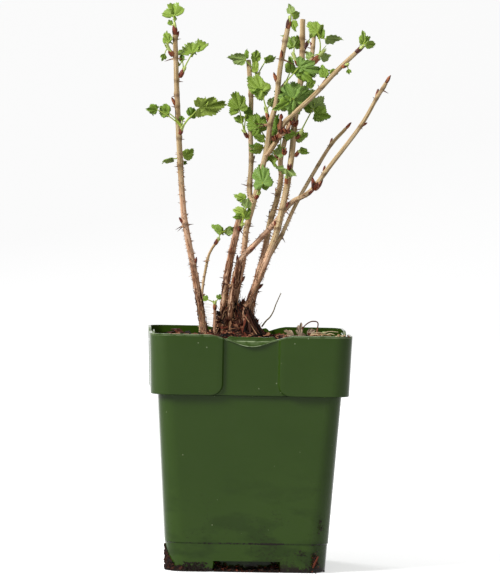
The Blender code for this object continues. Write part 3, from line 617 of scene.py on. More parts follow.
def makeCane(name, spec, number):
    points, radii = caneLine(spec, barkRelief["ring"])
    radii = [r * between(*barkRelief["slim"], k / len(radii)) for k, r in enumerate(radii)]
    if "on" in spec:
        # a fork grows out of the middle of its carrier
        centre, along, radius = placeOn(canes[spec["on"]], spec["way"][0][2])
        points = [centre] + points[1:]
    dark, pale = spec["aged"]
    knots = [(node[0], planWay(node[1])) for node in spec["nodes"]]

    def agedAt(up):
        return smoothStep((pale - up) / (pale - dark))

    def relief(part, point, out):
        depth, fine, along, place = barkRelief[part]
        return depth * noise.noise(out * fine + Vector((number * 7.3 + place, 0, point.z * along)))

    def shape(point, out):
        old = agedAt(point.z)
        flake = max(0.0, relief("flake", point, out) - 0.1 * barkRelief["flake"][0])
        swell = 1 + relief("ridge", point, out) + relief("rib", point, out)
        swell += relief("grain", point, out) * (0.5 + 1.2 * old) + flake * (0.25 + 1.6 * old)
        for up, way in knots:
            near = math.exp(-((point.z - up) / barkRelief["nodeHalf"]) ** 2)
            swell += barkRelief["nodeSwell"] * near * (0.3 + 0.9 * max(0.0, way.dot(out)))
        return swell

    sides = barkRelief["sides"]
    along = (points[-1] - points[-2]).normalized()
    if spec.get("budTip"):
        points.append(points[-1] + along)
        radii.append(radii[-1] * 0.6)
    elif spec.get("cut"):
        points += [points[-1] + along * 0.25, points[-1] + along * 0.3]
        radii += [radii[-1] * 0.97, radii[-1] * 0.8]
    verts = tubeRings(points, radii, sides, shape)
    faces = ringFaces(len(points), sides)
    kinds = ["bark"] * len(faces)
    if spec.get("cut"):
        # the last ring and the end, but not the foot's own end
        kinds[-2 - sides:] = ["cutWood"] * (sides + 2)
        kinds[-2] = "bark"
    pile = Pile()
    pile.add(verts, faces, kinds)
    age, stain, grow = [], [], []
    travelled = number * 400.0
    for k, v in enumerate(verts):
        ring, place = divmod(k, sides)
        if place == 0 and ring:
            travelled += (points[ring] - points[ring - 1]).length
        turn = 2 * math.pi * place / sides
        grow += [math.cos(turn) * 2 * mm, math.sin(turn) * 2 * mm, travelled * mm]
        age.append(agedAt(v.z))
        near = [math.exp(-((v.z - up + 1.0) / barkRelief["stainHalf"]) ** 2) for up, way in knots]
        stain.append(0.5 * max(near + [0.0]))
    piece = pile.build("bark_" + name, {"age": age, "stain": stain, "grow": grow}, 70)
    finishPiece(piece, "bark", name)


# Thorns and bristles

thornSize = {"thick": (0.42, 0.035), "long": (0.7, 2.1), "longer": 1.4, "bristleThick": 0.5}


def addThorn(pile, start, way, length, rng):
    # a tapering, slightly bent spine
    foot, more = thornSize["thick"]
    thick = foot + more * length
    bend = shake(rng, (-0.12, 0.12), (-0.12, 0.12), (-0.16, 0.02))
    points = [start + way * length * s + bend * length * s * s for s in (-0.12, 0.08, 0.3, 0.55, 0.8, 1.0)]
    radii = [thick * s for s in (1.35, 0.95, 0.7, 0.5, 0.3, 0.08)]
    addTube(pile, points, radii, 6, "thorn", "thornTip")


def addBristle(pile, centre, along, radius, rng):
    # a short thin spine that points any way
    out = outward(along, rng.uniform(0, 360))
    way = (out + along * rng.uniform(-0.45, 0.35)).normalized()
    length = rng.uniform(*thornSize["long"]) * (thornSize["longer"] if rng.random() < 0.12 else 1.0)
    start = centre + out * radius * 0.8
    thick = thornSize["bristleThick"] * rng.uniform(0.7, 1.2)
    end = start + way * length + Vector((0, 0, rng.uniform(-0.4, 0.15)))
    tip = "thornTip" if rng.random() < 0.4 else None
    addTube(pile, [start, start + way * length * 0.4, end], [thick, thick * 0.55, 0.04], 5, "thorn", tip)


def makeThorns(rng):
    thorns, bristles = Pile(), Pile()
    for spec in canes.values():
        for up, side, budLong, spines in spec["nodes"]:
            centre, along, radius = placeOn(spec, up - 1.5)
            for thornSide, length, rise in spines:
                out = outward(along, thornSide)
                addThorn(thorns, centre + out * radius * 0.8, (out + along * rise).normalized(), length, rng)
        low, high, density = spec["bristly"]
        for k in range(int((high - low) * density * 1.9)):
            addBristle(bristles, *placeOn(spec, between(low, high, rng.random() ** 1.15)), rng)
    finishPiece(thorns.build("thorns"), "bark")
    finishPiece(bristles.build("bristles"), "bark")


# Buds

budScale = {"rows": 5, "columns": 5, "half": 62, "thick": 0.16}


def addScale(pile, start, along, side, long, thick, flare, kind):
    # one pointed bud scale that wraps part of a bud
    rows, columns = budScale["rows"], budScale["columns"]
    outside, inside = [], []
    across = along.cross(side).normalized()
    for r in range(rows):
        share = r / (rows - 1)
        wide = math.radians(budScale["half"]) * math.sqrt(max(0.0, 1 - share ** 1.7)) + 0.02
        away = thick * (0.72 + 1.15 * share - 1.35 * share * share) + flare * share * share
        for c in range(columns):
            angle = wide * (2 * c / (columns - 1) - 1)
            out = side * math.cos(angle) + across * math.sin(angle)
            place = start + along * long * share
            outside.append(place + out * away)
            inside.append(place + out * (away - budScale["thick"]))
    pile.add(outside + inside, slabFaces(rows, columns), kind)


def addBud(pile, start, along, long, thick, rng, opened=0.0):
    # a spindle with overlapping scales, which stand apart at the top if it has opened
    core = [start + along * long * s for s in (0.0, 0.2, 0.5, 0.8, 1.0)]
    wide = (0.6, 0.86, 0.8, 0.6, 0.45) if opened else (0.6, 0.86, 0.9, 0.5, 0.12)
    addTube(pile, core, [thick * w for w in wide], 8, "sheath" if opened else "scaleDark")
    for k in range(5):
        side = turnedFrom(along, 2.4 * k + rng.uniform(-0.3, 0.3))
        kind = rng.choice(("scaleRed", "scaleRed", "scaleBrown", "scaleDark"))
        reach = long * (0.62 + 0.1 * k) * (0.8 if opened else 1.0)
        addScale(pile, start - along * 0.2, along, side, reach, thick, opened, kind)


def makeBuds(rng):
    buds = Pile()
    for spec in canes.values():
        for up, side, budLong, spines in spec["nodes"]:
            if budLong:
                centre, along, radius = placeOn(spec, up)
                out = outward(along, side)
                way = (along + out * 0.42).normalized()
                addBud(buds, centre + out * radius * 0.75, way, budLong * 1.2, 0.36 * budLong ** 0.75, rng)
        if spec.get("budTip"):
            tip, along, radius = caneTip(spec)
            addBud(buds, tip + along * 0.4, along, 6.5, radius * 1.1, rng)
    return buds


budClusters = [
    # (middle, way, length, thickness, number of buds, how far they spread)
    ((43.9, -17.5, 265.5), (0.1, -0.3, 1), 8.0, 1.9, 7, 0.7),
    ((29.6, -8.5, 309.5), (0.05, -0.5, 1), 6.0, 1.4, 4, 0.5),
    ((19.6, -15.0, 304.0), (0, -0.2, 1), 4.6, 1.1, 6, 1.1),
    ((23.2, -15.2, 304.6), (0.3, -0.4, 1), 4.8, 1.2, 6, 1.0),
    ((15.0, -12.0, 299.0), (-0.3, -0.4, 1), 4.6, 1.1, 5, 0.9),
    ((25.6, -12.0, 279.0), (0.2, -0.4, 1), 4.6, 1.2, 3, 0.6),
    ((22.0, -14.5, 289.5), (0.1, -0.4, 1), 4.4, 1.2, 4, 0.7),
    ((26.2, -15.4, 311.0), (0.5, -0.3, 1), 3.6, 0.9, 3, 0.8),
]


# short knobbly spurs before the fork of the middle cane, as (foot, tip, bend, radii, look, True with a bud)
spurs = [
    ((18.9, -14.6, 301.0), (19.4, -15.0, 315.0), (-0.7, 0, 0),
     (1.3, 1.0, 1.25, 0.95, 1.2, 0.9, 1.15, 0.9, 0.9), "chipPale", True),
    ((19.2, -14.6, 302.0), (26.0, -15.2, 311.5), (1.2, 0, -1.4),
     (1.4, 1.1, 1.3, 1.0, 1.2, 0.95, 1.1, 0.9, 0.8), "thorn", False),
]


def addClusters(buds, rng):
    for middle, way, long, thick, count, spread in budClusters:
        way = Vector(way).normalized()
        for k in range(count):
            side = turnedFrom(way, 2 * math.pi * k / count + rng.uniform(-0.4, 0.4))
            along = (way + side * spread * rng.uniform(0.4, 1.0)).normalized()
            start = Vector(middle) + side * thick * 0.4
            addBud(buds, start, along, long * rng.uniform(0.7, 1.1), thick * rng.uniform(0.7, 1.0), rng)
    for foot, tip, bend, radii, kind, budded in spurs:
        foot, tip = Vector(foot), Vector(tip)
        addTube(buds, bezier(foot, foot.lerp(tip, 0.5) + Vector(bend), tip, 8), radii, 10, kind)
        if budded:
            addBud(buds, tip - Vector((0, 0, 0.6)), Vector((0.05, 0, 1)).normalized(), 3.4, 1.5, rng)


# Leaves
# Each mass is (cane, up, side, sheath, bud, leaves). It grows from one bud at height up on its cane, on the
# side given as a plan angle, or from the cane's tip where side is None. sheath is how far its pale sheath
# reaches, and bud the length and thickness of its bud. A leaf is (angle, reach, heading, length, width,
# away, tone): its stalk leaves the bud at angle for reach mm, its blade heads the way of heading as seen
# from the front, and away is how far behind the bud the blade's foot lies. tone picks how light the leaf
# green is, as painted light and shade on the whole leaf.

plainBud = (6.0, 1.4)
masses = {
    "leaves_left_top": ("cane_left", 376, None, 4, (9.0, 1.9), [
        (96, 9.8, 92, 9.4, 16, -1, "Fresh"), (125, 4, 120, 5, 4, 1, "Mid")]),
    "leaves_left_upper": ("cane_left", 360, 200, 7, (6.5, 1.8), [
        (100, 7.0, 118, 7.5, 7.5, -1, "Fresh"), (95, 8, 110, 7, 3.5, 1, "Bright"),
        (200, 4, 250, 5, 5, 2, "Mid")]),
    "leaves_left_high": ("cane_left", 345, 0, 5, (8.0, 1.7), [
        (63, 16.0, 94, 8.5, 23, -1, "Fresh"), (64, 15.6, 98, 8.0, 11, 0, "Fresh"),
        (90, 8.5, 95, 5.5, 4, -1, "Deep"), (110, 5, 130, 5, 3, 1, "Mid")]),
    "leaves_left_middle": ("cane_left", 306, 300, 6, plainBud, [
        (128, 15, 150, 9, 10, -2, "Mid"), (141, 22.2, 182, 8.0, 7.5, -3, "Mid"),
        (58, 11.5, 60, 7.5, 9, -2, "Deep"), (52, 20.2, 12, 18, 14.5, -4, "Bright"),
        (90, 6.5, 90, 3.5, 4.5, -1, "Deep")]),
    "leaves_left_low": ("cane_left", 284, 80, 2, plainBud, [
        (50, 3.2, 38, 9.5, 8.5, 0, "Fresh"), (172, 5.5, 190, 9, 3, 1, "Mid"),
        (330, 2.0, 330, 3.5, 3, 0, "Deep")]),
    "leaves_stub": ("cane_stub", 240, 300, 3, (6.0, 1.6), [
        (82, 19.5, 165, 9, 6.5, 0, "Fresh"), (76, 14, 80, 7.5, 8, -1, "Fresh"),
        (81, 9.8, 168, 9, 7, -2, "Bright"), (90, 7.5, 195, 6.5, 4.5, -1, "Mid"),
        (70, 6.5, 60, 8.5, 6.5, -2, "Fresh")]),
    "leaves_left_thin": ("cane_left_thin", 226, None, 2, plainBud, [
        (65, 6.5, 148, 9, 6.5, -1, "Mid"), (40, 8.5, 30, 7.5, 6.5, 0, "Mid"),
        (50, 9.5, 345, 6, 5, -1, "Fresh")]),
    "leaves_sprout": ("sprout", 181, None, 3, plainBud, [
        (145, 6, 140, 4.5, 5, 0, "Mid"), (60, 4.5, 65, 4.5, 4.5, 1, "Mid")]),
    "leaves_fork_top": ("cane_middle_fork", 342, 10, 8, plainBud, [
        (118, 16, 168, 12, 8.5, -1, "Fresh"), (94, 14, 75, 9, 8, 0, "Fresh"),
        (113, 16.5, 92, 7.5, 4, 0, "Mid"), (90, 5.6, 95, 10, 5.5, -1, "Bright"),
        (64, 15, 10, 9.5, 5, -2, "Mid")]),
    "leaves_middle_upper": ("cane_middle", 317, 170, 5, plainBud, [
        (104, 16.5, 138, 16, 14, -2, "Fresh"), (103, 15.5, 183, 8.5, 5.5, 0, "Deep"),
        (103, 15, 42, 10, 7, 0, "Mid"), (70, 6, 68, 7.5, 6, 1, "Mid")]),
    "leaves_fork_middle": ("cane_middle_fork", 304, 200, 4, plainBud, [
        (105, 17.5, 105, 12.5, 15.5, -3, "Fresh"), (88, 13.5, 62, 7, 7.5, -1, "Deep"),
        (100, 9.5, 170, 8, 6, -1, "Mid")]),
    "leaves_back_low": ("cane_back", 289, 150, 4, plainBud, [
        (123, 23.5, 140, 13.5, 16, -12, "Mid"), (123, 24, 58, 10, 10, -11, "Mid"),
        (122, 23.5, 5, 7.5, 6.5, -12, "Fresh"), (60, 4, 75, 5, 2, 0, "Mid"),
        (160, 4, 130, 5, 5.5, -1, "Mid")]),
    "leaves_middle_low": ("cane_middle", 262, 290, 3, plainBud, [
        (70, 9.2, 100, 15.0, 14.5, -6, "Muted"), (70, 7, 35, 8, 9, -1, "Mid")]),
    "leaves_front_low": ("cane_front", 272, 250, 1, plainBud, [
        (95, 6.8, 268, 6.0, 15.5, -1, "Mid")]),
    "leaves_side_low": ("cane_middle_side", 303, 70, 1, plainBud, [
        (135, 3, 95, 13, 6, 1, "Deep"), (0, 3, 15, 9.5, 7.5, 0, "Mid"), (195, 3, 115, 7.5, 8, 2, "Mid"),
        (268, 8.5, 275, 8, 8, 2, "Mid"), (230, 5, 205, 8, 6, 2, "Deep")]),
    "leaves_middle_back": ("cane_middle", 293, 100, 2, plainBud, [
        (165, 2.5, 172, 9.5, 5.5, 0, "Mid"), (190, 3, 188, 9.5, 5.5, 0, "Fresh"),
        (100, 7, 172, 8, 6, 0, "Mid"), (300, 6, 300, 9.5, 4.5, 1, "Fresh"),
        (285, 4.5, 262, 6, 4.5, 1, "Deep")]),
    "leaves_front_upper": ("cane_front", 355, 200, 8, plainBud, [
        (99, 11, 62, 9.5, 10, 2, "Mid"), (102, 11, 135, 11.5, 7, 2, "Fresh")]),
    "leaves_middle_high": ("cane_middle", 338, 10, 4, plainBud, [
        (65, 10.5, 90, 11.5, 8.5, 0, "Mid"), (52, 17, 350, 15.5, 14, -2, "Muted"),
        (48, 15.5, 318, 12.5, 10, -1, "Mid")]),
    "leaves_front_high": ("cane_front", 335, 10, 2, plainBud, [
        (60, 4, 40, 7, 6, -1, "Fresh"), (70, 6, 65, 5, 6, 0, "Mid")]),
    "leaves_front_bud": ("cane_front", 369, 30, 2, plainBud, [
        (60, 4, 78, 4.5, 3, 0, "Bright")]),
    "leaves_back_top": ("cane_back", 358, 330, 12, (9.0, 2.3), [
        (88, 19.5, 138, 11, 11, -1, "Fresh"), (86, 20.5, 48, 6.5, 4, 0, "Bright"),
        (77, 16, 92, 9, 6, 0, "Mid"), (66, 16, 8, 11, 6, -1, "Fresh"), (20, 4, 18, 7.5, 7, 0, "Fresh"),
        (160, 4, 130, 5.5, 6, 1, "Mid")]),
    "leaves_side_middle": ("cane_middle_side", 340, 100, 3, plainBud, [
        (85, 4.5, 108, 8.5, 7.5, 0, "Mid"), (56, 8, 20, 7.5, 6, 0, "Fresh")]),
    "leaves_side_high": ("cane_middle_side", 355, 300, 1, plainBud, [
        (300, 3, 280, 4, 4, 0, "Mid")]),
    "leaves_side_tip": ("cane_middle_side", 363, None, 4, (8.0, 1.7), [
        (55, 5, 90, 9, 6.5, 0, "Fresh"), (40, 6, 0, 8, 5.5, -1, "Fresh"), (60, 8, 30, 4.5, 4, 0, "Mid")]),
    "leaves_middle_tip": ("cane_middle", 381, None, 5, (9.5, 1.9), [
        (76, 8.0, 104, 6.6, 6, 0, "Bright"), (57, 6, 34, 7, 5.5, 0, "Fresh"),
        (40, 3.5, 283, 8, 5, -1, "Fresh")]),
    "leaves_crown": ("cane_front", 313, 230, 5, plainBud, [
        (88, 15, 154, 15, 17, -18, "Muted"), (82, 16, 12, 16.5, 15, -14, "Muted"),
        (90, 14.5, 264, 10.5, 16, -15, "Muted"), (95, 14, 212, 12.5, 11, -17, "Mid"),
        (88, 15, 84, 12, 19, -16, "Muted")]),
    "leaves_front_right": ("cane_front", 304, 340, 4, plainBud, [
        (64, 20.5, 52, 11.5, 13.5, -4, "Fresh"), (56, 18.4, 345, 11.5, 12, -4, "Mid"),
        (66, 19.5, 165, 6, 6.5, -3, "Mid"), (236, 3.7, 22, 9.5, 8.5, 0, "Fresh")]),
    "leaves_front_side": ("cane_front", 292, 10, 1, plainBud, [
        (60, 3, 335, 7.5, 4.5, 0, "Mid")]),
}
# a lobe's toothed edge as (place across it from -1 to 1, radius as a share of the lobe's)
lobeEdge = [
    (-1.0, 0.77), (-0.84, 0.88), (-0.7, 0.91), (-0.57, 0.86), (-0.44, 0.95), (-0.3, 0.97), (-0.18, 0.93),
    (-0.08, 1.0), (0.0, 1.02), (0.08, 1.0), (0.18, 0.93), (0.3, 0.97), (0.44, 0.95), (0.57, 0.86),
    (0.7, 0.91), (0.84, 0.88),
]
bladeShapes = {
    # lobes as (angle, half width, share of the length), and the corners at the foot as (angle, share)
    "fan": {"lobes": [(-58, 28, 0.94), (0, 30, 1.0), (58, 28, 0.94)], "foot": [(92, 0.52), (104, 0.24)]},
    "round": {"lobes": [(-92, 21, 0.78), (-47, 23, 0.96), (0, 24, 1.0), (47, 23, 0.96), (92, 21, 0.78)],
              "foot": [(120, 0.46), (144, 0.2)]},
    "young": {"lobes": [(-40, 20, 0.88), (0, 20, 1.0), (40, 20, 0.88)], "foot": [(70, 0.4)]},
}
blade = {
    "rings": (0.2, 0.44, 0.68, 0.87, 1.0), "veinHalf": 0.14, "thick": 0.2, "roundFrom": 12.4, "fanFrom": 5.5,
    "pleat": (0.22, 0.42), "cup": (0.08, 0.38), "curl": (0.0, 0.22), "ripple": 0.1, "jitter": 0.03,
}
sharedStalk = 5.0  # leaves whose feet are nearer than this share a stalk
behind = {"from": 5.5, "long": (6.0, 10.5), "clear": 4.0, "stand": 0.9, "tries": 6, "roundFrom": 8.5}


def bladeColumns(shape, length, width, rng):
    # columns across a blade: (x, y, smooth share of the edge, place from vein to sinus, side of a vein)
    spec = bladeShapes[shape]
    raw = [(-a, r, r, 0.7, 0) for a, r in reversed(spec["foot"])]
    for angle, half, share in spec["lobes"]:
        share *= rng.uniform(0.88, 1.08)
        for offset, radius in lobeEdge:
            edge = share * radius * (1 + rng.uniform(-blade["jitter"], blade["jitter"]))
            smooth = share * (0.9 - 0.2 * offset * offset)
            for strip in ((-1, 1) if offset == 0 else (0,)):
                raw.append((angle + offset * half, edge, smooth, abs(offset), strip))
    angle, half, share = spec["lobes"][-1]
    raw.append((angle + half, share * lobeEdge[0][1], share * 0.7, 1.0, 0))
    raw += [(a, r, r, 0.7, 0) for a, r in spec["foot"]]
    widest = max(abs(r * math.sin(math.radians(a))) for a, r, smooth, between, strip in raw)
    columns = []
    for a, r, smooth, between, strip in raw:
        x = r * math.cos(math.radians(a)) * length
        y = r * math.sin(math.radians(a)) * width / 2 / widest
        columns.append((x, y, smooth / r, between, strip))
    return columns


def addBlade(pile, base, ahead, normal, length, width, tone, shape, rng):
    columns = bladeColumns(shape, length, width, rng)
    side = normal.cross(ahead).normalized()
    pleat = rng.uniform(*blade["pleat"])
    cup = rng.uniform(*blade["cup"])
    curl = rng.uniform(*blade["curl"]) * length
    twist = rng.uniform(-0.2, 0.2)
    seed = Vector((rng.uniform(0, 90), rng.uniform(0, 90), 0))
    top = [Vector((0, 0, 0))]
    for ring in blade["rings"]:
        for x, y, smooth, between, strip in columns:
            share = ring * (smooth + (1 - smooth) * ring ** 3)
            px, py = x * share, y * share
            reach = math.hypot(px, py)
            if strip:
                wide = blade["veinHalf"] * (1 - 0.7 * ring) * strip / math.hypot(x, y)
                px, py = px - y * wide, py + x * wide
            rise = pleat * reach * (math.sin(0.5 * math.pi * between) * 0.8 - 0.3)
            rise += cup * py * py / (width * 0.5) + twist * px * py / length - curl * ring ** 4
            rise += blade["ripple"] * length * ring * noise.noise(seed + Vector((px, py, 0)) * 0.5)
            top.append(Vector((px, py, rise)))
    count, n = len(top), len(columns)
    faces, kinds = [], []
    for i in range(n - 1):
        kind = "vein" if columns[i][4] == -1 else tone
        faces.append((0, 1 + i, 2 + i))
        kinds.append(kind)
        for k in range(len(blade["rings"]) - 1):
            a = 1 + k * n + i
            faces.append((a, a + n, a + n + 1, a + 1))
            kinds.append(kind)
    faces += [tuple(count + i for i in reversed(face)) for face in faces]
    kinds += ["bladeUnder"] * len(kinds)
    last = 1 + (len(blade["rings"]) - 1) * n
    rim = [0] + [1 + k * n for k in range(len(blade["rings"]))] + [last + i for i in range(1, n)]
    rim += [n * (k + 1) for k in range(len(blade["rings"]) - 2, -1, -1)]
    faces += rimFaces(rim, count)
    kinds += [tone] * len(rim)
    shown = [base + ahead * p.x + side * p.y + normal * p.z for p in top]
    lower = [p - normal * blade["thick"] for p in shown]
    pile.add(shown + lower, faces, kinds)


def bladeAxes(heading, length, width, lean):
    # the blade's heading, normal, true length and true width from those seen in front
    trueWidth = max(width, 0.75 * length) * 1.04
    trueLength = max(length, 0.7 * width) / math.cos(lean)
    foreshort = math.acos(min(1.0, length / trueLength))
    turn = math.acos(min(1.0, width / trueWidth))
    rising = 1 if math.sin(heading) >= 0 else -1
    flat = Vector((math.cos(heading), 0, math.sin(heading)))
    ahead = (flat * math.cos(foreshort) + Vector((0, rising, 0)) * math.sin(foreshort)).normalized()
    normal = squareTo(ahead, Vector((0, -1, 0)))
    tipUp = 1 if ahead.cross(normal).z > 0 else -1
    normal = Matrix.Rotation(-tipUp * turn * 0.95, 3, ahead) @ normal
    return ahead, normal, trueLength, trueWidth


def massSeat(cane, up, side):
    # where a mass's bud starts and heads
    if side is None:
        tip, along, radius = caneTip(cane)
        return tip - along * 0.2, along
    centre, along, radius = placeOn(cane, up - plainBud[0] * 0.5)
    out = outward(along, side)
    return centre + out * radius * 0.85, (out * 0.55 + along).normalized()


def addBehind(blades, stalks, base, ahead, length, width, tone, limbs, rng):
    # a leaf that stands behind one seen in front, facing a side, where no cane is in its way
    long = min(max(min(length, width), behind["long"][0]), behind["long"][1])
    start = base + ahead * 0.18 * length + Vector((0, behind["stand"], 0))
    for tries in range(behind["tries"]):
        way = Vector((rng.uniform(-0.3, 0.3), 1, rng.uniform(-0.2, 0.3))).normalized()
        spots = [start + way * long * share for share in (0.3, 0.7, 1.1)]
        if all((limb - spot).length > behind["clear"] for limb in limbs for spot in spots):
            break
    else:
        return
    normal = squareTo(way, Vector((rng.choice((-1, 1)), 0, rng.uniform(0.2, 1.2))))
    line = bezier(base, base.lerp(start, 0.5) + Vector((0, 0.6, 0)), start + way * 0.4, 5)
    addTube(stalks, line, [0.4, 0.4, 0.38, 0.36, 0.34, 0.3], 6, "stalk")
    shape = "round" if long > behind["roundFrom"] else "fan"
    addBlade(blades, start, way, normal, long, long * rng.uniform(0.9, 1.15), tone, shape, rng)


def addMassBud(buds, stalks, cane, up, side, sheath, bud, rng):
    # the opened bud of a mass with its pale sheath; tells where the leaves start and the sheath ends
    seat, along = massSeat(canes[cane], up, side)
    long, thick = plainBud
    if side is not None:
        # on a short spur
        foot = seat
        seat = seat + outward(along, side) * thick * 0.75
        spur = [foot, foot.lerp(seat, 0.8) + along * 0.6, seat + along * 1.2]
        addTube(buds, spur, [1.3, 1.1, 1.0], 8, "scaleBrown")
    heart = seat + along * long * 0.55
    addBud(buds, seat, along, *bud, rng, 0.5)
    tip = heart + along * sheath * 0.75
    core = [heart - along, heart + along * 0.5, heart.lerp(tip, 0.6), tip]
    addTube(stalks, core, [1.0, 1.3, 1.0, 0.5], 9, "sheath")
    for k in range(3):
        out = turnedFrom(along, 2.1 * k + rng.uniform(-0.4, 0.4))
        reach = sheath * rng.uniform(0.8, 1.1) + 1.0
        addScale(stalks, heart - along * 0.4, along, out, reach, 1.25, 0.7, "sheath")
    return heart, tip


def makeMasses(buds, rng):
    blades, stalks = Pile(), Pile()
    hidden = random.Random(17)
    limbs = [point for spec in canes.values() for point in caneLine(spec, 3.0)[0]]
    for cane, up, side, sheath, bud, leaves in masses.values():
        heart, tip = addMassBud(buds, stalks, cane, up, side, sheath, bud, rng)
        feet = []
        for angle, reach, heading, length, width, away, tone in leaves:
            # the tone's green is painted light and shade on the whole leaf
            tone = "blade" + tone
            turn = math.radians(angle)
            base = heart + Vector((reach * math.cos(turn), away, reach * math.sin(turn)))
            near = [f for f in feet if Vector((f.x - base.x, 0, f.z - base.z)).length < sharedStalk]
            if near and (near[0] - heart).length > sharedStalk:
                start, bend = near[0], near[0].lerp(base, 0.5)
            else:
                start = heart.lerp(tip, 0.3)
                bend = tip + (base - tip) * 0.2 + Vector((0, 0, 0.04 * reach))
            lean = math.radians(rng.uniform(8, 24))
            shape = "round" if tone == "bladeMuted" or min(length, width) > blade["roundFrom"] else "fan"
            if max(length, width) < blade["fanFrom"]:
                shape = "young"
            ahead, normal, trueLength, trueWidth = bladeAxes(math.radians(heading), length, width, lean)
            if shape == "fan" and rng.random() < 0.2:
                normal = -normal
            size = 0.8 + 0.3 * min(1.0, max(length, width) / 12)
            radii = [size * t for t in (0.85, 0.62, 0.5, 0.45, 0.42, 0.42, 0.4, 0.3)]
            addTube(stalks, bezier(start, bend, base + ahead * 0.4, 7), radii, 7, "stalk")
            addBlade(blades, base, ahead, normal, trueLength, trueWidth, tone, shape, rng)
            feet.append(base)
            if min(length, width) > behind["from"]:
                addBehind(blades, stalks, base, ahead, length, width, tone, limbs, hidden)
    finishPiece(blades.build("leafBlades", (), 75), "foliage", *masses)
    finishPiece(stalks.build("leafStalks"), "foliage")


def makePlant():
    for number, (name, spec) in enumerate(canes.items()):
        makeCane(name, spec, number)
    rng = random.Random(11)
    makeThorns(rng)
    buds = makeBuds(rng)
    addClusters(buds, rng)
    makeMasses(buds, rng)
    finishPiece(buds.build("buds"), "bark")


makePlant()
print("plant done")


# Pot

potSize = {
    "height": 165.0, "collarTop": 70.0, "collarFoot": 68.6, "collarUp": 123.0, "wall": 1.2, "floor": 1.6,
    "bodyTop": 63.0, "bodyFoot": 55.0, "footEdge": 1.4, "cornerTop": 10.0, "cornerFoot": 15.0,
    "stepUp": 20.0, "stepOut": 0.5,  # the ring line above the foot
    "proud": 2.2, "panelEdge": 19.3, "panelRound": 8.0,  # the corner panels of the collar
    "dip": 4.2, "dipFrom": 10.0, "dipTo": 30.0,  # how the rim dips in the middle of a side
    "lipOut": 2.2, "lipUp": 156.7, "lipRise": 7.0, "lipHalf": 26.0,
    "tabHalf": 15.0, "tabFoot": 17.0, "tabUp": 2.7, "bayHalf": 24.0, "bayUp": 7.7, "bayDeep": 14.0,
}
potRings = {
    # rings of the lip as (share of its reach, height between its edge and the rim, wear)
    "lip": ((0.0, -0.12, 0.0), (0.55, -0.03, 0.0), (0.93, 0.0, 0.0), (1.0, 0.06, 0.4), (1.0, 0.13, 0.9),
            (0.96, 0.2, 0.0), (0.72, 0.5, 0.12), (0.4, 0.8, 0.12), (0.32, 0.88, 0.5)),
    # rings over the rim and over its tabs as (inset, drop, wear)
    "rim": ((0.12, 0.1, 0.8), (0.4, 0.0, 0.5), (0.7, 0.0, 0.1)),
    "tab": ((0.85, 0.15, 0.0), (1.0, 0.0, 0.45), (1.7, 0.0, 0.45), (1.9, 0.2, 0.0)),
}


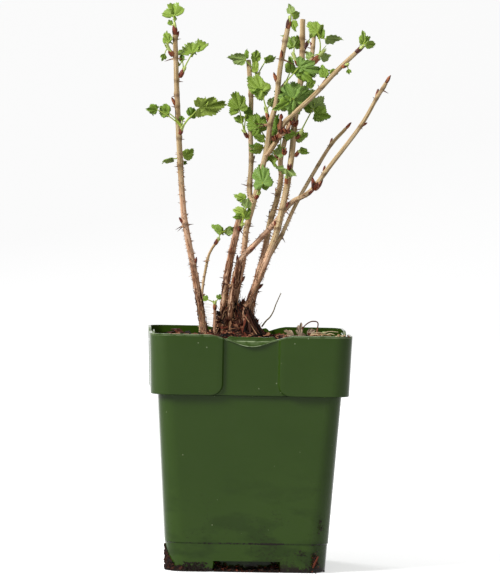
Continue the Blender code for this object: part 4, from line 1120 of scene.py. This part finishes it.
def makePot():
    size = potSize

    def bodyHalf(up):
        grown = between(size["bodyFoot"], size["bodyTop"], up / size["collarUp"])
        return grown + size["stepOut"] * smoothStep((up - size["stepUp"] + 0.3) / 0.6)

    def collarHalf(up):
        share = (up - size["collarUp"]) / (size["height"] - size["collarUp"])
        return between(size["collarFoot"], size["collarTop"], share) - size["proud"]

    def cornerAt(up):
        return between(size["cornerFoot"], size["cornerTop"], up / size["height"])

    def panelEdge(up):
        left = 1 - min(1.0, (up - size["collarUp"]) / size["panelRound"])
        return size["panelEdge"] + size["panelRound"] * (1 - math.sqrt(max(0.0, 1 - left * left)))

    def rimDip(t):
        return -size["dip"] * (1 - smoothStep((t - size["dipFrom"]) / (size["dipTo"] - size["dipFrom"])))

    def lipHigh(t):
        share = min(1.0, t / size["lipHalf"])
        low = size["lipUp"] + size["lipRise"] * (1 - math.cos(math.pi * share)) / 2
        return max(0.9, size["height"] + rimDip(t) - low)

    verts, wear, starts = [], [], []

    def loop(half, up, corner, edge, shape, worn=0.0):
        # points round a rounded square; shape(t) gives (out, rise) at t from a side's middle
        starts.append(len(verts))
        straight = half - corner
        places = [(edge - 1) * k / 15 for k in range(16)]
        places += [edge + d for d in (-0.6, -0.2, 0.2, 0.6, 1.0)]
        places += [edge + 1 + (straight - edge - 1) * k / 9 for k in range(1, 10)]
        for turn in quarterTurns:
            for t in [-t for t in reversed(places[1:])] + places:
                out, rise = shape(abs(t))
                verts.append(turn @ Vector((t, -half - out, up + rise)))
            out, rise = shape(half)
            for step in range(1, 10):
                way = planWay(-90 + 9 * step) * (corner + out)
                verts.append(turn @ (way + Vector((straight, -straight, up + rise))))
        wear.extend([worn] * (len(verts) - starts[-1]))

    def bodyLoop(up, inset=0.0):
        loop(bodyHalf(up) - inset, up, cornerAt(up) - inset, size["panelEdge"], lambda t: (0.0, 0.0))

    def collarLoop(up, inset=0.0, extra=None, worn=0.0):
        edge = panelEdge(up)

        def shape(t):
            out = size["proud"] * smoothStep((t - edge + 0.8) / 1.6)
            more, rise = extra(t) if extra else (0.0, 0.0)
            return out + more - inset, rise

        loop(collarHalf(up), up, cornerAt(up), edge, shape, worn)

    def lip(share, rise):
        # a ring of the lip: share of its reach, and how high it lies between its edge and the rim
        def extra(t):
            out = size["lipOut"] * max(0.0, 1 - (t / size["panelEdge"]) ** 2) * share
            return out, rimDip(t) - lipHigh(t) * (1 - rise)
        return extra

    def tabRise(t):
        return size["tabUp"] * smoothStep((size["tabFoot"] - t) / (size["tabFoot"] - size["tabHalf"]))

    # up the outside, over the lip and the rim, and down the inside
    for turn in (0, 22.5, 45, 67.5, 90):
        curve = planWay(turn) * size["footEdge"]
        bodyLoop(size["footEdge"] - curve.x, size["footEdge"] - curve.y)
    for up in (8, 14, 19, 19.7, 19.9, 20.1, 20.3, 21, 45, 75, 100, 118, 122.6):
        bodyLoop(up)
    for up, inset in ((123.0, 0.5), (123.1, 0.2), (123.4, 0.0)):
        collarLoop(up, inset)
    for up in (124, 125, 126, 127, 128, 129, 130, 131, 136, 144, 152, 154.5):
        collarLoop(up)
    top = size["height"]
    for share, rise, worn in potRings["lip"]:
        collarLoop(top, 0.0, lip(share, rise), worn)
    for inset, drop, worn in potRings["rim"]:
        collarLoop(top, inset, lambda t: (0.0, rimDip(t) - drop), worn)
    for inset, drop, worn in potRings["tab"]:
        collarLoop(top, inset, lambda t: (0.0, rimDip(t) + tabRise(t) - drop), worn)
    for up in (156.0, 142.0, 131.0, 128.0, 125.0, 124.3):
        collarLoop(up, size["wall"])
    for up in (122.0, 60.0, 20.0, size["floor"]):
        bodyLoop(up, size["wall"])
    pile = Pile()
    pile.add(verts, ringFaces(len(starts), starts[1]), "potPlastic")
    piece = pile.build("potShell", {"wear": wear})
    for grown, short, operation in ((size["wall"], 0.6, "UNION"), (0.0, -6.0, "DIFFERENCE")):
        cutter = drainBays(grown, short)
        step = piece.modifiers.new("bay", "BOOLEAN")
        step.object = cutter
        step.operation = operation
        step.solver = "EXACT"
        pick(piece)
        bpy.ops.object.modifier_apply(modifier="bay")
        bpy.data.objects.remove(cutter)
    bpy.ops.object.shade_smooth_by_angle(angle=math.radians(35))
    finishPiece(piece, "pot_plastic", "pot")


def drainBays(grown, short):
    # one wedge for the drain bay in the foot of each side
    size = potSize
    face = size["bodyFoot"]
    low = 0.4 if short > 0 else -2.0
    front, back = -face + short, -face + size["bayDeep"] + grown
    pile = Pile()
    for turn in quarterTurns:
        verts = []
        for up, narrower in ((low, 0.0), (size["bayUp"] + grown, 1.0)):
            for x, y in ((-1, front), (1, front), (1, back), (-1, back)):
                wide = size["bayHalf"] + grown - narrower - 0.2 * (y + face)
                verts.append(turn @ Vector((x * wide, y, up)))
        pile.add(verts, boxFaces, "potPlastic")
    return pile.build("bays")


# Compost

compost = {
    "half": 65.0, "corner": 9.0, "up": 156.5, "foot": 144.0, "cells": 150, "rough": 1.3,
    "moundAt": (-9.0, -2.0), "moundUp": 7.5, "moundWide": 27.0, "heapsTo": 66, "heapsFade": 14,
    "chips": 1500, "crumbs": 2200, "chipsTo": 61, "chipEdge": 63, "nearMound": 0.35,
    # heaps as (right, away, up, width)
    "heaps": ((-49, -22, 4.5, 9), (30, -14, 3.5, 15), (4, -34, 3.0, 16), (-24, -30, 3.0, 12),
              (48, 12, 2.5, 14), (-10, 40, 2.5, 20), (44, -42, 7.0, 12)),
}


def moundAt(x, y):
    away = math.hypot(x - compost["moundAt"][0], y - compost["moundAt"][1])
    return compost["moundUp"] * math.exp(-((away / compost["moundWide"]) ** 2))


def soilUp(x, y):
    # height of the compost at a place
    rise = 0.55 * (math.sin(x / 7) * math.cos(y / 7 * 1.3) + math.sin((x + 2 * y) / 7 * 0.7))
    for right, away, high, wide in compost["heaps"]:
        rise += high * math.exp(-((x - right) ** 2 + (y - away) ** 2) / wide ** 2)
    edge = smoothStep((compost["heapsTo"] - max(abs(x), abs(y))) / compost["heapsFade"])
    return compost["up"] + moundAt(x, y) + rise * edge


def insidePot(x, y):
    # keeps a place within the pot's rounded corners
    half, corner = compost["half"], compost["corner"]
    cx, cy = max(0.0, abs(x) - half + corner), max(0.0, abs(y) - half + corner)
    over = math.hypot(cx, cy)
    if over <= corner:
        return x, y
    share = corner / over
    if cx:
        x = math.copysign(half - corner + cx * share, x)
    if cy:
        y = math.copysign(half - corner + cy * share, y)
    return x, y


def makeCompost():
    # the rough top of the compost, a thick sheet bent to soilUp
    deselect()
    bpy.ops.mesh.primitive_grid_add(x_subdivisions=compost["cells"], y_subdivisions=compost["cells"],
                                    size=2 * compost["half"] * mm)
    piece = bpy.context.object
    piece.name = piece.data.name = "compostTop"
    step = piece.modifiers.new("deep", "SOLIDIFY")
    step.thickness = 5 * mm
    step.offset = -1
    bpy.ops.object.modifier_apply(modifier="deep")
    for vert in piece.data.vertices:
        x, y = insidePot(vert.co.x / mm, vert.co.y / mm)
        spot = Vector((x, y, 0))
        rough = noise.noise(spot * 0.35) + 0.6 * noise.noise(spot * 0.9) + 0.35 * noise.noise(spot * 2.1)
        up = soilUp(x, y) + compost["rough"] * rough - 0.8 if vert.co.z > -1 * mm else compost["foot"]
        vert.co = Vector((x, y, up)) * mm
    bpy.ops.object.shade_smooth_by_angle(angle=math.radians(60))
    piece.data.materials.append(looks["chipDark"])
    finishPiece(piece, "compost", "compost")


def addChip(pile, centre, size, flat, long, kind, rng, tilt=0.5):
    # an irregular bark chip of 8 corners
    turn = (Matrix.Rotation(rng.uniform(0, 6.28), 3, "Z") @ Matrix.Rotation(rng.gauss(0, tilt), 3, "X")
            @ Matrix.Rotation(rng.gauss(0, tilt), 3, "Y"))
    verts = []
    for z in (-1, 1):
        for x, y in ((-1, -1), (1, -1), (1.15, 1), (-0.9, 1)):
            corner = shake(rng, (0.6, 1.1), (0.55, 1.1), (0.5, 1.1)) * Vector((x * long, y, z * flat))
            verts.append(centre + turn @ corner * size)
    pile.add(verts, boxFaces, kind)


def makeChips(rng):
    chips = Pile()
    kinds = ("chipDark", "chipDark", "chipBrown", "chipBrown", "chipRed", "chipRed", "chipPale")
    reach = compost["chipsTo"]
    for k in range(compost["chips"] + compost["crumbs"]):
        crumb = k >= compost["chips"]
        if rng.random() < compost["nearMound"]:
            away, turn = abs(rng.gauss(0, 15)) + 8, rng.uniform(0, 6.28)
            x, y = (at + way * away for at, way in zip(compost["moundAt"], flatWay(turn)))
        else:
            x, y = rng.uniform(-reach, reach), rng.uniform(-reach, reach)
        x, y = insidePot(x, y)
        size = rng.uniform(0.3, 0.8) if crumb else rng.uniform(0.7, 2.4)
        if max(abs(x), abs(y)) > compost["chipEdge"] - 2 * size:
            continue
        spot = Vector((x, y, soilUp(x, y) + rng.uniform(-0.3, 0.9)))
        addChip(chips, spot, size, rng.uniform(0.2, 0.55), rng.uniform(1.0, 2.0), rng.choice(kinds), rng)
    return chips


# Crown

crown = {
    "at": (-9.0, -1.5), "foot": 157.0, "top": 184.0, "half": 12.6, "rings": 30, "sides": 96,
    "hollowTurn": -1.62, "hollowUp": 0.78, "hollowHalf": (0.42, 0.24),
    "lumps": ((2.4, 1.5), (1.8, 3.7), (0.8, 8)),  # (depth, fineness)
    "strips": 300, "flares": 170, "stubs": 46, "bits": 170, "strands": 260, "flakes": 150,
    # where flares start at the feet of the canes, as (right, away, up, reach)
    "flareFeet": ((-2.0, -12.0, 181.0, 15.0), (-2.0, -12.0, 178.0, 12.0), (-21.0, -11.0, 172.0, 6.0),
                  (-8.0, -14.0, 170.0, 5.0), (-16.0, 8.0, 172.0, 8.0), (2.0, 6.0, 174.0, 9.0)),
    # bark that peels, by cane: (lowest and highest start, number of strips)
    "peeling": {
        "cane_left": (158, 195, 30), "cane_stub": (160, 212, 34), "cane_middle": (170, 200, 22),
        "cane_far_right": (160, 205, 36), "cane_back": (168, 202, 26), "cane_front": (176, 205, 40),
    },
}


def hollowAt(share, angle):
    # 1 in the middle of the dark hollow in front
    wide, high = crown["hollowHalf"]
    turn = math.remainder(angle - crown["hollowTurn"], 2 * math.pi)
    return math.exp(-(turn / wide) ** 2 - ((share - crown["hollowUp"]) / high) ** 2)


def crownRadius(share, angle):
    # how wide the crown is at a share of its height, without its lumps
    wide = 1.3 - 0.4 * share - 0.5 * share ** 3
    wide *= 1 - 0.5 * hollowAt(share, angle)
    knobs = 0.09 * math.sin(3 * angle + 5 * share) + 0.05 * math.sin(7 * angle - 3 * share)
    return crown["half"] * wide * (1 + knobs)


def crownSpot(share, angle, radius):
    # a place at a share of the crown's height and a distance from its axis
    up = between(crown["foot"], crown["top"], share)
    return Vector((*crown["at"], up)) + flatWay(angle) * radius


def crownWood():
    rings, sides = crown["rings"], crown["sides"]
    verts = []
    for k in range(rings):
        share = k / (rings - 1)
        for i in range(sides):
            angle = 2 * math.pi * i / sides
            spot = flatWay(angle) * 3 + Vector((0, 0, share * 0.8))
            radius = crownRadius(share, angle) * 0.88
            for deep, fine in crown["lumps"]:
                radius += deep * noise.noise(spot * fine)
            rise = 1.4 * noise.noise(spot * 1.7 + Vector((9, 0, 0)))
            verts.append(crownSpot(share, angle, radius) + Vector((0, 0, rise)))
    pile = Pile()
    pile.add(verts, ringFaces(rings, sides), "chipDark")
    finishPiece(pile.build("crownWood"), "crown_wood", "crown")


def crownStrips(litter, rng):
    # strips of old bark that run down the crown and stand off at an end
    kinds = ("fibreDark", "chipBrown", "chipRed", "chipDark", "chipDark", "fibre", "chipBrown")
    for k in range(crown["strips"]):
        angle = rng.uniform(0, 6.28)
        top = rng.uniform(0.35, 1.15)
        foot = max(-0.1, top - rng.uniform(0.25, 0.8))
        points, outs = [], []
        drift, loose = rng.uniform(-0.35, 0.35), rng.uniform(0.0, 2.6)
        for s in range(7):
            share = between(foot, top, s / 6)
            turn = angle + drift * s / 6 + 0.05 * math.sin(2.1 * s + k)
            radius = crownRadius(min(max(share, 0), 1), turn) * 0.97 + loose * (s / 6) ** 3
            points.append(crownSpot(share, turn, radius))
            outs.append((flatWay(turn) + Vector((0, 0, 0.5 * share))).normalized())
        wide = rng.uniform(0.5, 1.9)
        kind = rng.choice(kinds)
        # strips in the hollow take the near-black chip colour as painted shade
        if hollowAt((foot + top) / 2, angle) > 0.35:
            kind = "chipDark"
        addStrip(litter, points, outs, [wide * w for w in (0.4, 0.8, 1, 1, 0.9, 0.7, 0.25)], 0.4, kind)


def crownFlares(litter, rng):
    # ragged flares that run out from the feet of the canes to the soil
    kinds = ("chipBrown", "chipDark", "chipRed", "chipDark", "fibreDark", "chipBrown", "chipDark")
    for k in range(crown["flares"]):
        x, y, up, reach = rng.choice(crown["flareFeet"])
        way = flatWay(math.atan2(y + 2, x + 9) + rng.gauss(0, 0.35))
        start = Vector((x, y, up)) + shake(rng, (-2, 2), (-2, 2), (-4, 2))
        end = Vector((x, y, 0)) + way * reach * rng.uniform(0.5, 1.2)
        end.z = soilUp(end.x, end.y) + rng.uniform(0, 3)
        bend = start.lerp(end, 0.4) + shake(rng, (-1.5, 1.5), (-1.5, 1.5), (-4, 3))
        out = (way + Vector((rng.uniform(-0.5, 0.5), rng.uniform(-0.5, 0.5), 0.7))).normalized()
        wide = rng.uniform(0.4, 1.7)
        kind = rng.choice(kinds)
        widths = [wide * rng.uniform(0.5, 1.1) for w in range(6)] + [wide * 0.2]
        addStrip(litter, bezier(start, bend, end, 6), [out] * 7, widths, 0.4, kind)


def crownStubs(litter, rng):
    # broken stubs
    for k in range(crown["stubs"]):
        share, angle = rng.uniform(0.0, 0.95), rng.uniform(0, 6.28)
        start = crownSpot(share, angle, crownRadius(share, angle) * 0.8)
        way = (flatWay(angle) + Vector((0, 0, rng.uniform(-0.2, 2.4)))).normalized()
        long, thick = rng.uniform(3, 7), rng.uniform(0.4, 1.3)
        points = [start + way * long * s for s in (0, 0.4, 0.8, 1.0)]
        radii = [thick, thick * 0.9, thick * 0.7, thick * 0.25]
        addTube(litter, points, radii, 7, rng.choice(("chipBrown", "chipRed", "fibreDark")))


def crownBits(chips, rng):
    # ragged bits of bark all over
    kinds = ("chipDark", "chipBrown", "chipRed", "chipDark", "chipPale", "chipBrown")
    for k in range(crown["bits"]):
        share, angle = rng.uniform(0.0, 1.0) ** 2 * 0.7, rng.uniform(0, 6.28)
        spot = crownSpot(share, angle, crownRadius(share, angle) * rng.uniform(0.95, 1.12))
        spot.z += rng.uniform(-1, 1.0)
        kind = rng.choice(kinds)
        size, flat, long = rng.uniform(0.4, 1.5), rng.uniform(0.12, 0.35), rng.uniform(1.2, 3.2)
        addChip(chips, spot, size, flat, long, kind, rng, 0.9)


def crownStrands(litter, rng):
    # thin fibres that stand off
    kinds = ("fibre", "chipPale", "fibreDark", "fibreDark", "chipRed")
    for k in range(crown["strands"]):
        angle = rng.uniform(0, 6.28)
        share = rng.uniform(0.1, 1.0)
        start = crownSpot(share, angle, crownRadius(share, angle) * rng.uniform(0.85, 1.05))
        start.z += 1
        x, y = math.cos(angle + rng.uniform(-1, 1)) * 0.4, math.sin(angle + rng.uniform(-1, 1)) * 0.4
        way = Vector((x, y, rng.choice((-1, 1)) * rng.uniform(0.5, 1.8))).normalized()
        long = rng.uniform(3, 8)
        bend = start + way * long * 0.5 + shake(rng, (-1, 1), (-1, 1), (-1, 1.5))
        line = bezier(start, bend, start + way * long, 6)
        addTube(litter, line, [0.2] * 6 + [0.06], 4, rng.choice(kinds))


def crownFlakes(chips, rng):
    # ragged flakes that lean against the crown's foot
    kinds = ("chipBrown", "chipRed", "chipRed", "chipDark", "chipBrown", "chipPale")
    for k in range(crown["flakes"]):
        angle, share = rng.uniform(0, 6.28), 0.75 * rng.random() ** 1.6
        away = crownRadius(share, angle) * rng.uniform(0.98, 1.08) + 5 * (0.75 - share) * rng.random()
        spot = crownSpot(share, angle, away)
        spot.z = max(spot.z, soilUp(spot.x, spot.y) + 0.4)
        kind = rng.choice(kinds)
        addChip(chips, spot, rng.uniform(0.9, 2.0), 0.16, rng.uniform(1.2, 2.2), kind, rng, 0.8)


def peelBark(litter, rng):
    # bark that peels from the feet of the canes
    kinds = ("fibre", "fibreDark", "chipPale", "fibreDark", "fibre", "chipBrown")
    for name, (low, high, count) in crown["peeling"].items():
        for k in range(count):
            start = rng.uniform(low, high)
            long = rng.uniform(5, 15)
            side = rng.uniform(0, 360)
            lift = rng.uniform(0.1, 1.2)
            points, outs = [], []
            for s in range(7):
                centre, along, radius = placeOn(canes[name], start + long * s / 6)
                out = outward(along, side + 6 * s * math.sin(k))
                points.append(centre + out * (radius * 0.93 + 0.15 + lift * (s / 3 - 1) ** 2))
                outs.append(out)
            wide = rng.uniform(0.35, 1.2)
            widths = [wide * w for w in (0.3, 0.8, 1, 1, 0.9, 0.7, 0.2)]
            addStrip(litter, points, outs, widths, 0.25, rng.choice(kinds))


def makeCrown(rng, chips):
    crownWood()
    litter = Pile()
    crownStrips(litter, rng)
    crownFlares(litter, rng)
    crownStubs(litter, rng)
    crownBits(chips, rng)
    crownStrands(litter, rng)
    crownFlakes(chips, rng)
    peelBark(litter, rng)
    finishPiece(litter.build("crownLitter"), "crown_wood")


# Loose things on the compost

lying = {
    # (points as (right, away, up), radius at foot and tip, look)
    "sticks": [
        ([(-3.2, -19, 176), (1.7, -23, 168.5), (7.2, -29, 160.5)], (0.3, 0.25), "fibre"),
        ([(9, -5, 168), (12, -5, 172.2), (14.8, -5, 175), (17.1, -6, 179.3), (18.8, -6, 184.3),
          (22.1, -7, 192.1)], (0.6, 0.3), "grass"),
        ([(35, -20, 161), (37.4, -20, 168.4), (41.5, -20, 172.3), (45, -20, 173.2), (47.8, -20, 172.1),
          (47.6, -20, 167.2), (48.7, -20, 160)], (0.4, 0.5), "fibreDark"),
        ([(46, -20, 160), (47.3, -20, 166), (47.9, -20, 171)], (0.9, 0.35), "chipPale"),
    ],
    "straws": 7, "scraps": 12, "hairs": 16,
    # curled pieces of a dead leaf as (right, away, up, turn)
    "curls": [(31, -22, 163.5, 2.7), (35, -20, 165, 1.4), (40, -21, 164, 0.5), (36, -24, 163, 2.0),
              (34, -21, 164, -0.4)],
    # balls and pieces of bark as (right, away, up, size, look)
    "balls": [(52.2, -20, 164.5, 2.1, "greenBall"), (-41.5, -30, 162, 1.3, "chipPale")],
    "pieces": [
        (-54, -17, 163.8, 2.6, "chipBrown"), (-49, -20, 164.6, 2.6, "chipRed"),
        (-46, -22, 163.6, 2.4, "chipBrown"), (-51, -18, 165.6, 2.3, "chipBrown"),
        (-57, -14, 163.4, 2.2, "chipDark"), (-43, -24, 164.0, 1.8, "chipDark"),
        (-41, -24, 163, 2.6, "chipPale"), (25, -14, 161.5, 3.0, "chipBrown"),
        (30, -18, 161.5, 2.6, "chipRed"), (14, -26, 161.5, 3.0, "chipBrown"),
        (-20, -36, 161, 2.8, "chipRed"), (4, -30, 162, 3.2, "chipDark"),
    ],
}


def addStick(pile, points, radii, kind):
    # a thin rod along a smooth curve through points
    line = curvePoints(points, 1.2)
    addTube(pile, line, [between(*radii, k / (len(line) - 1)) for k in range(len(line))], 6, kind)


def addBall(pile, centre, size, kind):
    # a slightly flattened ball
    rings, sides = 7, 10
    verts = []
    for k in range(rings):
        lift = math.pi * (k + 0.5) / rings
        down = Vector((0, 0, 0.9 * size * math.cos(lift)))
        for i in range(sides):
            verts.append(centre + flatWay(2 * math.pi * i / sides) * size * math.sin(lift) - down)
    pile.add(verts, ringFaces(rings, sides), kind)


def makeLoose(chips):
    # sticks, straws, a dead leaf and bark that lie on the compost
    rng = random.Random(5)
    loose = Pile()
    for points, radii, kind in lying["sticks"]:
        addStick(loose, points, radii, kind)
    for k in range(lying["straws"]):
        x, y = rng.uniform(38, 56), rng.uniform(-56, -38)
        turn, long = rng.uniform(-0.6, 0.6), rng.uniform(5, 13)
        reach = Vector((math.cos(turn), math.sin(turn) * 0.6, rng.uniform(-0.05, 0.12))) * long
        start = Vector((x, y, 164.4 + rng.uniform(0, 1.6)))
        middle = start + reach * 0.5 + Vector((0, 0, 0.8))
        addStick(loose, [start, middle, start + reach], (0.4, 0.25), rng.choice(("straw", "fibre")))
    for x, y, up, turn in lying["curls"]:
        ahead = Vector((math.cos(turn), 0.1, math.sin(turn)))
        normal = squareTo(ahead, Vector((0.1, -1, 0.3)).normalized())
        addBlade(loose, Vector((x, y, up)), ahead.normalized(), normal, 7.5, 5.0, "deadLeaf", "young", rng)
    for x, y, up, size, kind in lying["balls"]:
        addBall(loose, Vector((x, y, up)), size, kind)
    # ragged scraps caught on the rim's corner
    for k in range(lying["scraps"]):
        spot = shake(rng, (58, 68), (-68.4, -66.5), (164.9, 165.9))
        size, long = rng.uniform(0.4, 0.9), rng.uniform(1, 2.4)
        addChip(loose, spot, size, 0.3, long, rng.choice(("fibre", "fibreDark", "straw")), rng)
    # pale hairs between the left cane and the sprout
    for k in range(lying["hairs"]):
        centre, along, radius = placeOn(canes["cane_left"], 169 + k * 1.05)
        start = centre + Vector((radius * 0.7, 0, 0))
        reach = shake(rng, (4, 9), (-3, 1), (-1.2, 0.2))
        line = bezier(start, start + reach * 0.5 + Vector((0, 0, 0.5)), start + reach, 4)
        addTube(loose, line, [0.13, 0.12, 0.1, 0.09, 0.05], 4, "straw")
    finishPiece(loose.build("looseBits"), "compost")
    for x, y, up, size, kind in lying["pieces"]:
        addChip(chips, Vector((x, y, up)), size, 0.24, 1.9, kind, rng, 0.25)


# Soil at the foot

footSoil = {
    "clump": 900, "bayCrumbs": 190, "edgeCrumbs": 60, "underEdge": 160, "flecks": 34,
    "bayFront": -54.6, "bayBack": -42.5, "bayHalf": 22.5,
    # the clump round the front left corner: its axis, how high it stands, and the side where it is highest
    "clumpAt": (-40, -40), "clumpUp": 20, "clumpSide": 186,
}


def addHeap(pile, turn, height, kind):
    # a lumpy slab of soil in a drain bay, whose top follows height(x, y)
    columns, rows = 30, 8
    half, front, back = footSoil["bayHalf"], footSoil["bayFront"], footSoil["bayBack"]
    upper, lower = [], []
    for r in range(rows + 1):
        for c in range(columns + 1):
            x, y = half * (2 * c / columns - 1), between(front, back, r / rows)
            upper.append(turn @ Vector((x, y, max(0.25, height(x, y)))))
            lower.append(turn @ Vector((x, y, 0.05)))
    pile.add(upper + lower, slabFaces(rows + 1, columns + 1), kind)


def bayHeap(x, y):
    deep, end = (y - footSoil["bayFront"]) / 12, abs(x) / 22
    lump = noise.noise(Vector((x * 0.22, y * 0.3, 4))) + 0.5 * noise.noise(Vector((x * 0.7, y * 0.7, 9)))
    return 0.5 + deep * (0.8 + 3.6 * end ** 2) + 1.1 * lump * (0.3 + deep)


def addCrumb(pile, spot, size, rng, long=1.4, kind=None):
    # a crumb that never reaches under the floor
    start = len(pile.verts)
    kind = kind or rng.choice(("wetSoil", "wetSoil", "chipDark", "chipBrown", "chipRed"))
    addChip(pile, spot, size, rng.uniform(0.3, 0.6), rng.uniform(0.8, long), kind, rng)
    lift = Vector((0, 0, max(0.0, 0.1 - min(v.z for v in pile.verts[start:]))))
    pile.verts[start:] = [v + lift for v in pile.verts[start:]]


def addClump(soil, rng):
    # soil that clings to the foot's front left corner and tapers off along both sides
    kinds = ("wetSoil", "chipDark", "chipBrown", "wetSoil", "chipBrown", "chipDark")
    high = footSoil["clumpUp"]
    for k in range(footSoil["clump"]):
        side = rng.triangular(178, 262, 200)
        up = high * rng.random() ** 1.2 * max(0.14, 1 - abs(side - footSoil["clumpSide"]) / 52)
        away = 15.0 + up * 0.065 + rng.uniform(0, 0.7)
        kind = rng.choice(kinds)
        spot = Vector((*footSoil["clumpAt"], up)) + planWay(side) * away
        addCrumb(soil, spot, rng.uniform(0.4, 1.7) * (1 - up / 32), rng, 1.4, kind)


def addBaySoil(soil, turn, rng):
    # soil in a drain bay, thick at its ends, and crumbs along the foot's edge
    addHeap(soil, turn, bayHeap, "wetSoil")
    for k in range(footSoil["bayCrumbs"]):
        x = rng.choice((-1, 1)) * (22 - 20 * rng.random() ** 1.2)
        deep = rng.random()
        y = -54.2 + 11 * deep
        up = bayHeap(x, y) + rng.uniform(-0.3, 0.5 + 1.5 * deep)
        addCrumb(soil, turn @ Vector((x, y, up)), rng.uniform(0.3, 1.0), rng)
    for k in range(footSoil["edgeCrumbs"]):
        place = turn @ Vector((rng.uniform(-48, 48), -54.4 + rng.uniform(-0.2, 0.6), rng.uniform(0, 1.2)))
        addCrumb(soil, place, rng.uniform(0.25, 0.7), rng)


def addFlecks(soil, rng):
    # flecks on the front face: under the edge, low on the right, and along the ring line
    for k in range(footSoil["underEdge"]):
        low = Vector((rng.triangular(-46, -26, -38), -55.3, 6.5 * rng.random() ** 1.6))
        addCrumb(soil, low, rng.uniform(0.3, 0.9), rng, 1.4, "wetSoil")
        right = Vector((rng.gauss(47.5, 1.1), -55.9, rng.gauss(8.5, 3)))
        addCrumb(soil, right, rng.uniform(0.2, 0.5), rng)
    for k in range(footSoil["flecks"]):
        spot = Vector((rng.gauss(38, 2.0), -56.0, rng.gauss(14, 1.4)))
        addCrumb(soil, spot, rng.uniform(0.15, 0.45), rng, 1.4, "wetSoil")
        spot = Vector((rng.gauss(51, 1.6), -56.9, rng.gauss(33, 4.0)))
        addCrumb(soil, spot, rng.uniform(0.15, 0.5), rng, 1.4, "wetSoil")
        spot = Vector((rng.uniform(-50, 50), -56.05, rng.gauss(20, 0.8)))
        addCrumb(soil, spot, rng.uniform(0.12, 0.3), rng, 1.8, "wetSoil")
    shred = [Vector((46.0, -56.2, 4.0)), Vector((47.6, -56.6, 8.0)), Vector((49.6, -56.4, 12.0))]
    addTube(soil, shred, [0.5, 0.8, 0.4], 6, "chipRed")


def makeFootSoil():
    rng = random.Random(31)
    soil = Pile()
    addClump(soil, rng)
    for turn in quarterTurns:
        addBaySoil(soil, turn, rng)
    addFlecks(soil, rng)
    finishPiece(soil.build("footSoil", (), 20), "compost")


def makeGround():
    rng = random.Random(23)
    makeCompost()
    chips = makeChips(rng)
    makeCrown(rng, chips)
    makeLoose(chips)
    finishPiece(chips.build("compostChips", (), 20), "compost")
    makeFootSoil()


makePot()
print("pot done")
makeGround()
print("compost done")


# Stage, light and camera

studio = {
    "distance": 3001.0, "right": 0.5, "up": 300.8, "yaw": 1.91, "pitch": 2.04, "roll": 1.12, "lens": 265.6,
    "floor": 12.0, "floorBend": 3.0, "world": 0.4, "glow": 0.5, "lookAt": (0, 0, 0.2),
    # lights as (place, power, size)
    "lights": {
        "keyLight": ((-1.9, -1.2, 1.5), 82.0, 0.9), "fillLight": ((1.2, -2.2, 1.0), 9.0, 1.4),
        "backLight": ((-1.6, 2.2, 1.4), 36.0, 1.2),
    },
}


def makeStage():
    deselect()
    bpy.ops.mesh.primitive_plane_add(size=studio["floor"], location=(0, 0, -0.0001))
    floor = bpy.context.object
    floor.name = floor.data.name = "floor"
    bpy.ops.object.transform_apply(location=True, rotation=True, scale=True)
    bpy.ops.object.mode_set(mode="EDIT")
    bpy.ops.mesh.select_all(action="DESELECT")
    bpy.ops.object.mode_set(mode="OBJECT")
    for edge in floor.data.edges:
        edge.select = all(floor.data.vertices[v].co.y > 0 for v in edge.vertices)
    bpy.ops.object.mode_set(mode="EDIT")
    bpy.ops.mesh.select_mode(type="EDGE")
    bpy.ops.mesh.extrude_region_move(TRANSFORM_OT_translate={"value": (0, 0, studio["floor"] / 2)})
    bpy.ops.object.mode_set(mode="OBJECT")
    step = floor.modifiers.new("curve", "BEVEL")
    step.width = studio["floorBend"]
    step.segments = 16
    bpy.ops.object.modifier_apply(modifier="curve")
    bpy.ops.object.shade_smooth()
    glow = {"Emission_Color": (1, 1, 1, 1), "Emission_Strength": studio["glow"], "Specular_IOR_Level": 0.0}
    paper = Look("paper", (0.9, 0.9, 0.9), 0.9, **glow)
    floor.data.materials.append(paper.material)
    floor.visible_diffuse = False
    world = bpy.data.worlds.new("studioLight")
    bpy.context.scene.world = world
    world.use_nodes = True
    sky = world.node_tree.nodes["Background"].inputs
    sky["Color"].default_value = (1, 1, 1, 1)
    sky["Strength"].default_value = studio["world"]


def areaLight(name, place, power, size):
    data = bpy.data.lights.new(name, "AREA")
    data.energy = power
    data.size = size
    made = bpy.data.objects.new(name, data)
    bpy.context.scene.collection.objects.link(made)
    made.location = place
    made.rotation_euler = (Vector(studio["lookAt"]) - Vector(place)).to_track_quat("-Z", "Y").to_euler()


def makeCamera():
    data = bpy.data.cameras.new("camera")
    data.lens = studio["lens"]
    data.sensor_width = 36
    data.clip_start, data.clip_end = 0.05, 60
    made = bpy.data.objects.new("camera", data)
    bpy.context.scene.collection.objects.link(made)
    yaw = Matrix.Rotation(math.radians(-studio["yaw"]), 3, "Z")
    made.location = yaw @ Vector((studio["right"], -studio["distance"], studio["up"])) * mm
    tilt = Matrix.Rotation(math.radians(90 - studio["pitch"]), 3, "X")
    roll = Matrix.Rotation(math.radians(studio["roll"]), 3, "Z")
    made.rotation_euler = (yaw @ tilt @ roll).to_euler()
    bpy.context.scene.camera = made


makeStage()
for name, (place, power, size) in studio["lights"].items():
    areaLight(name, place, power, size)
makeCamera()
bpy.context.scene.view_settings.view_transform = "Standard"
print("stage done")
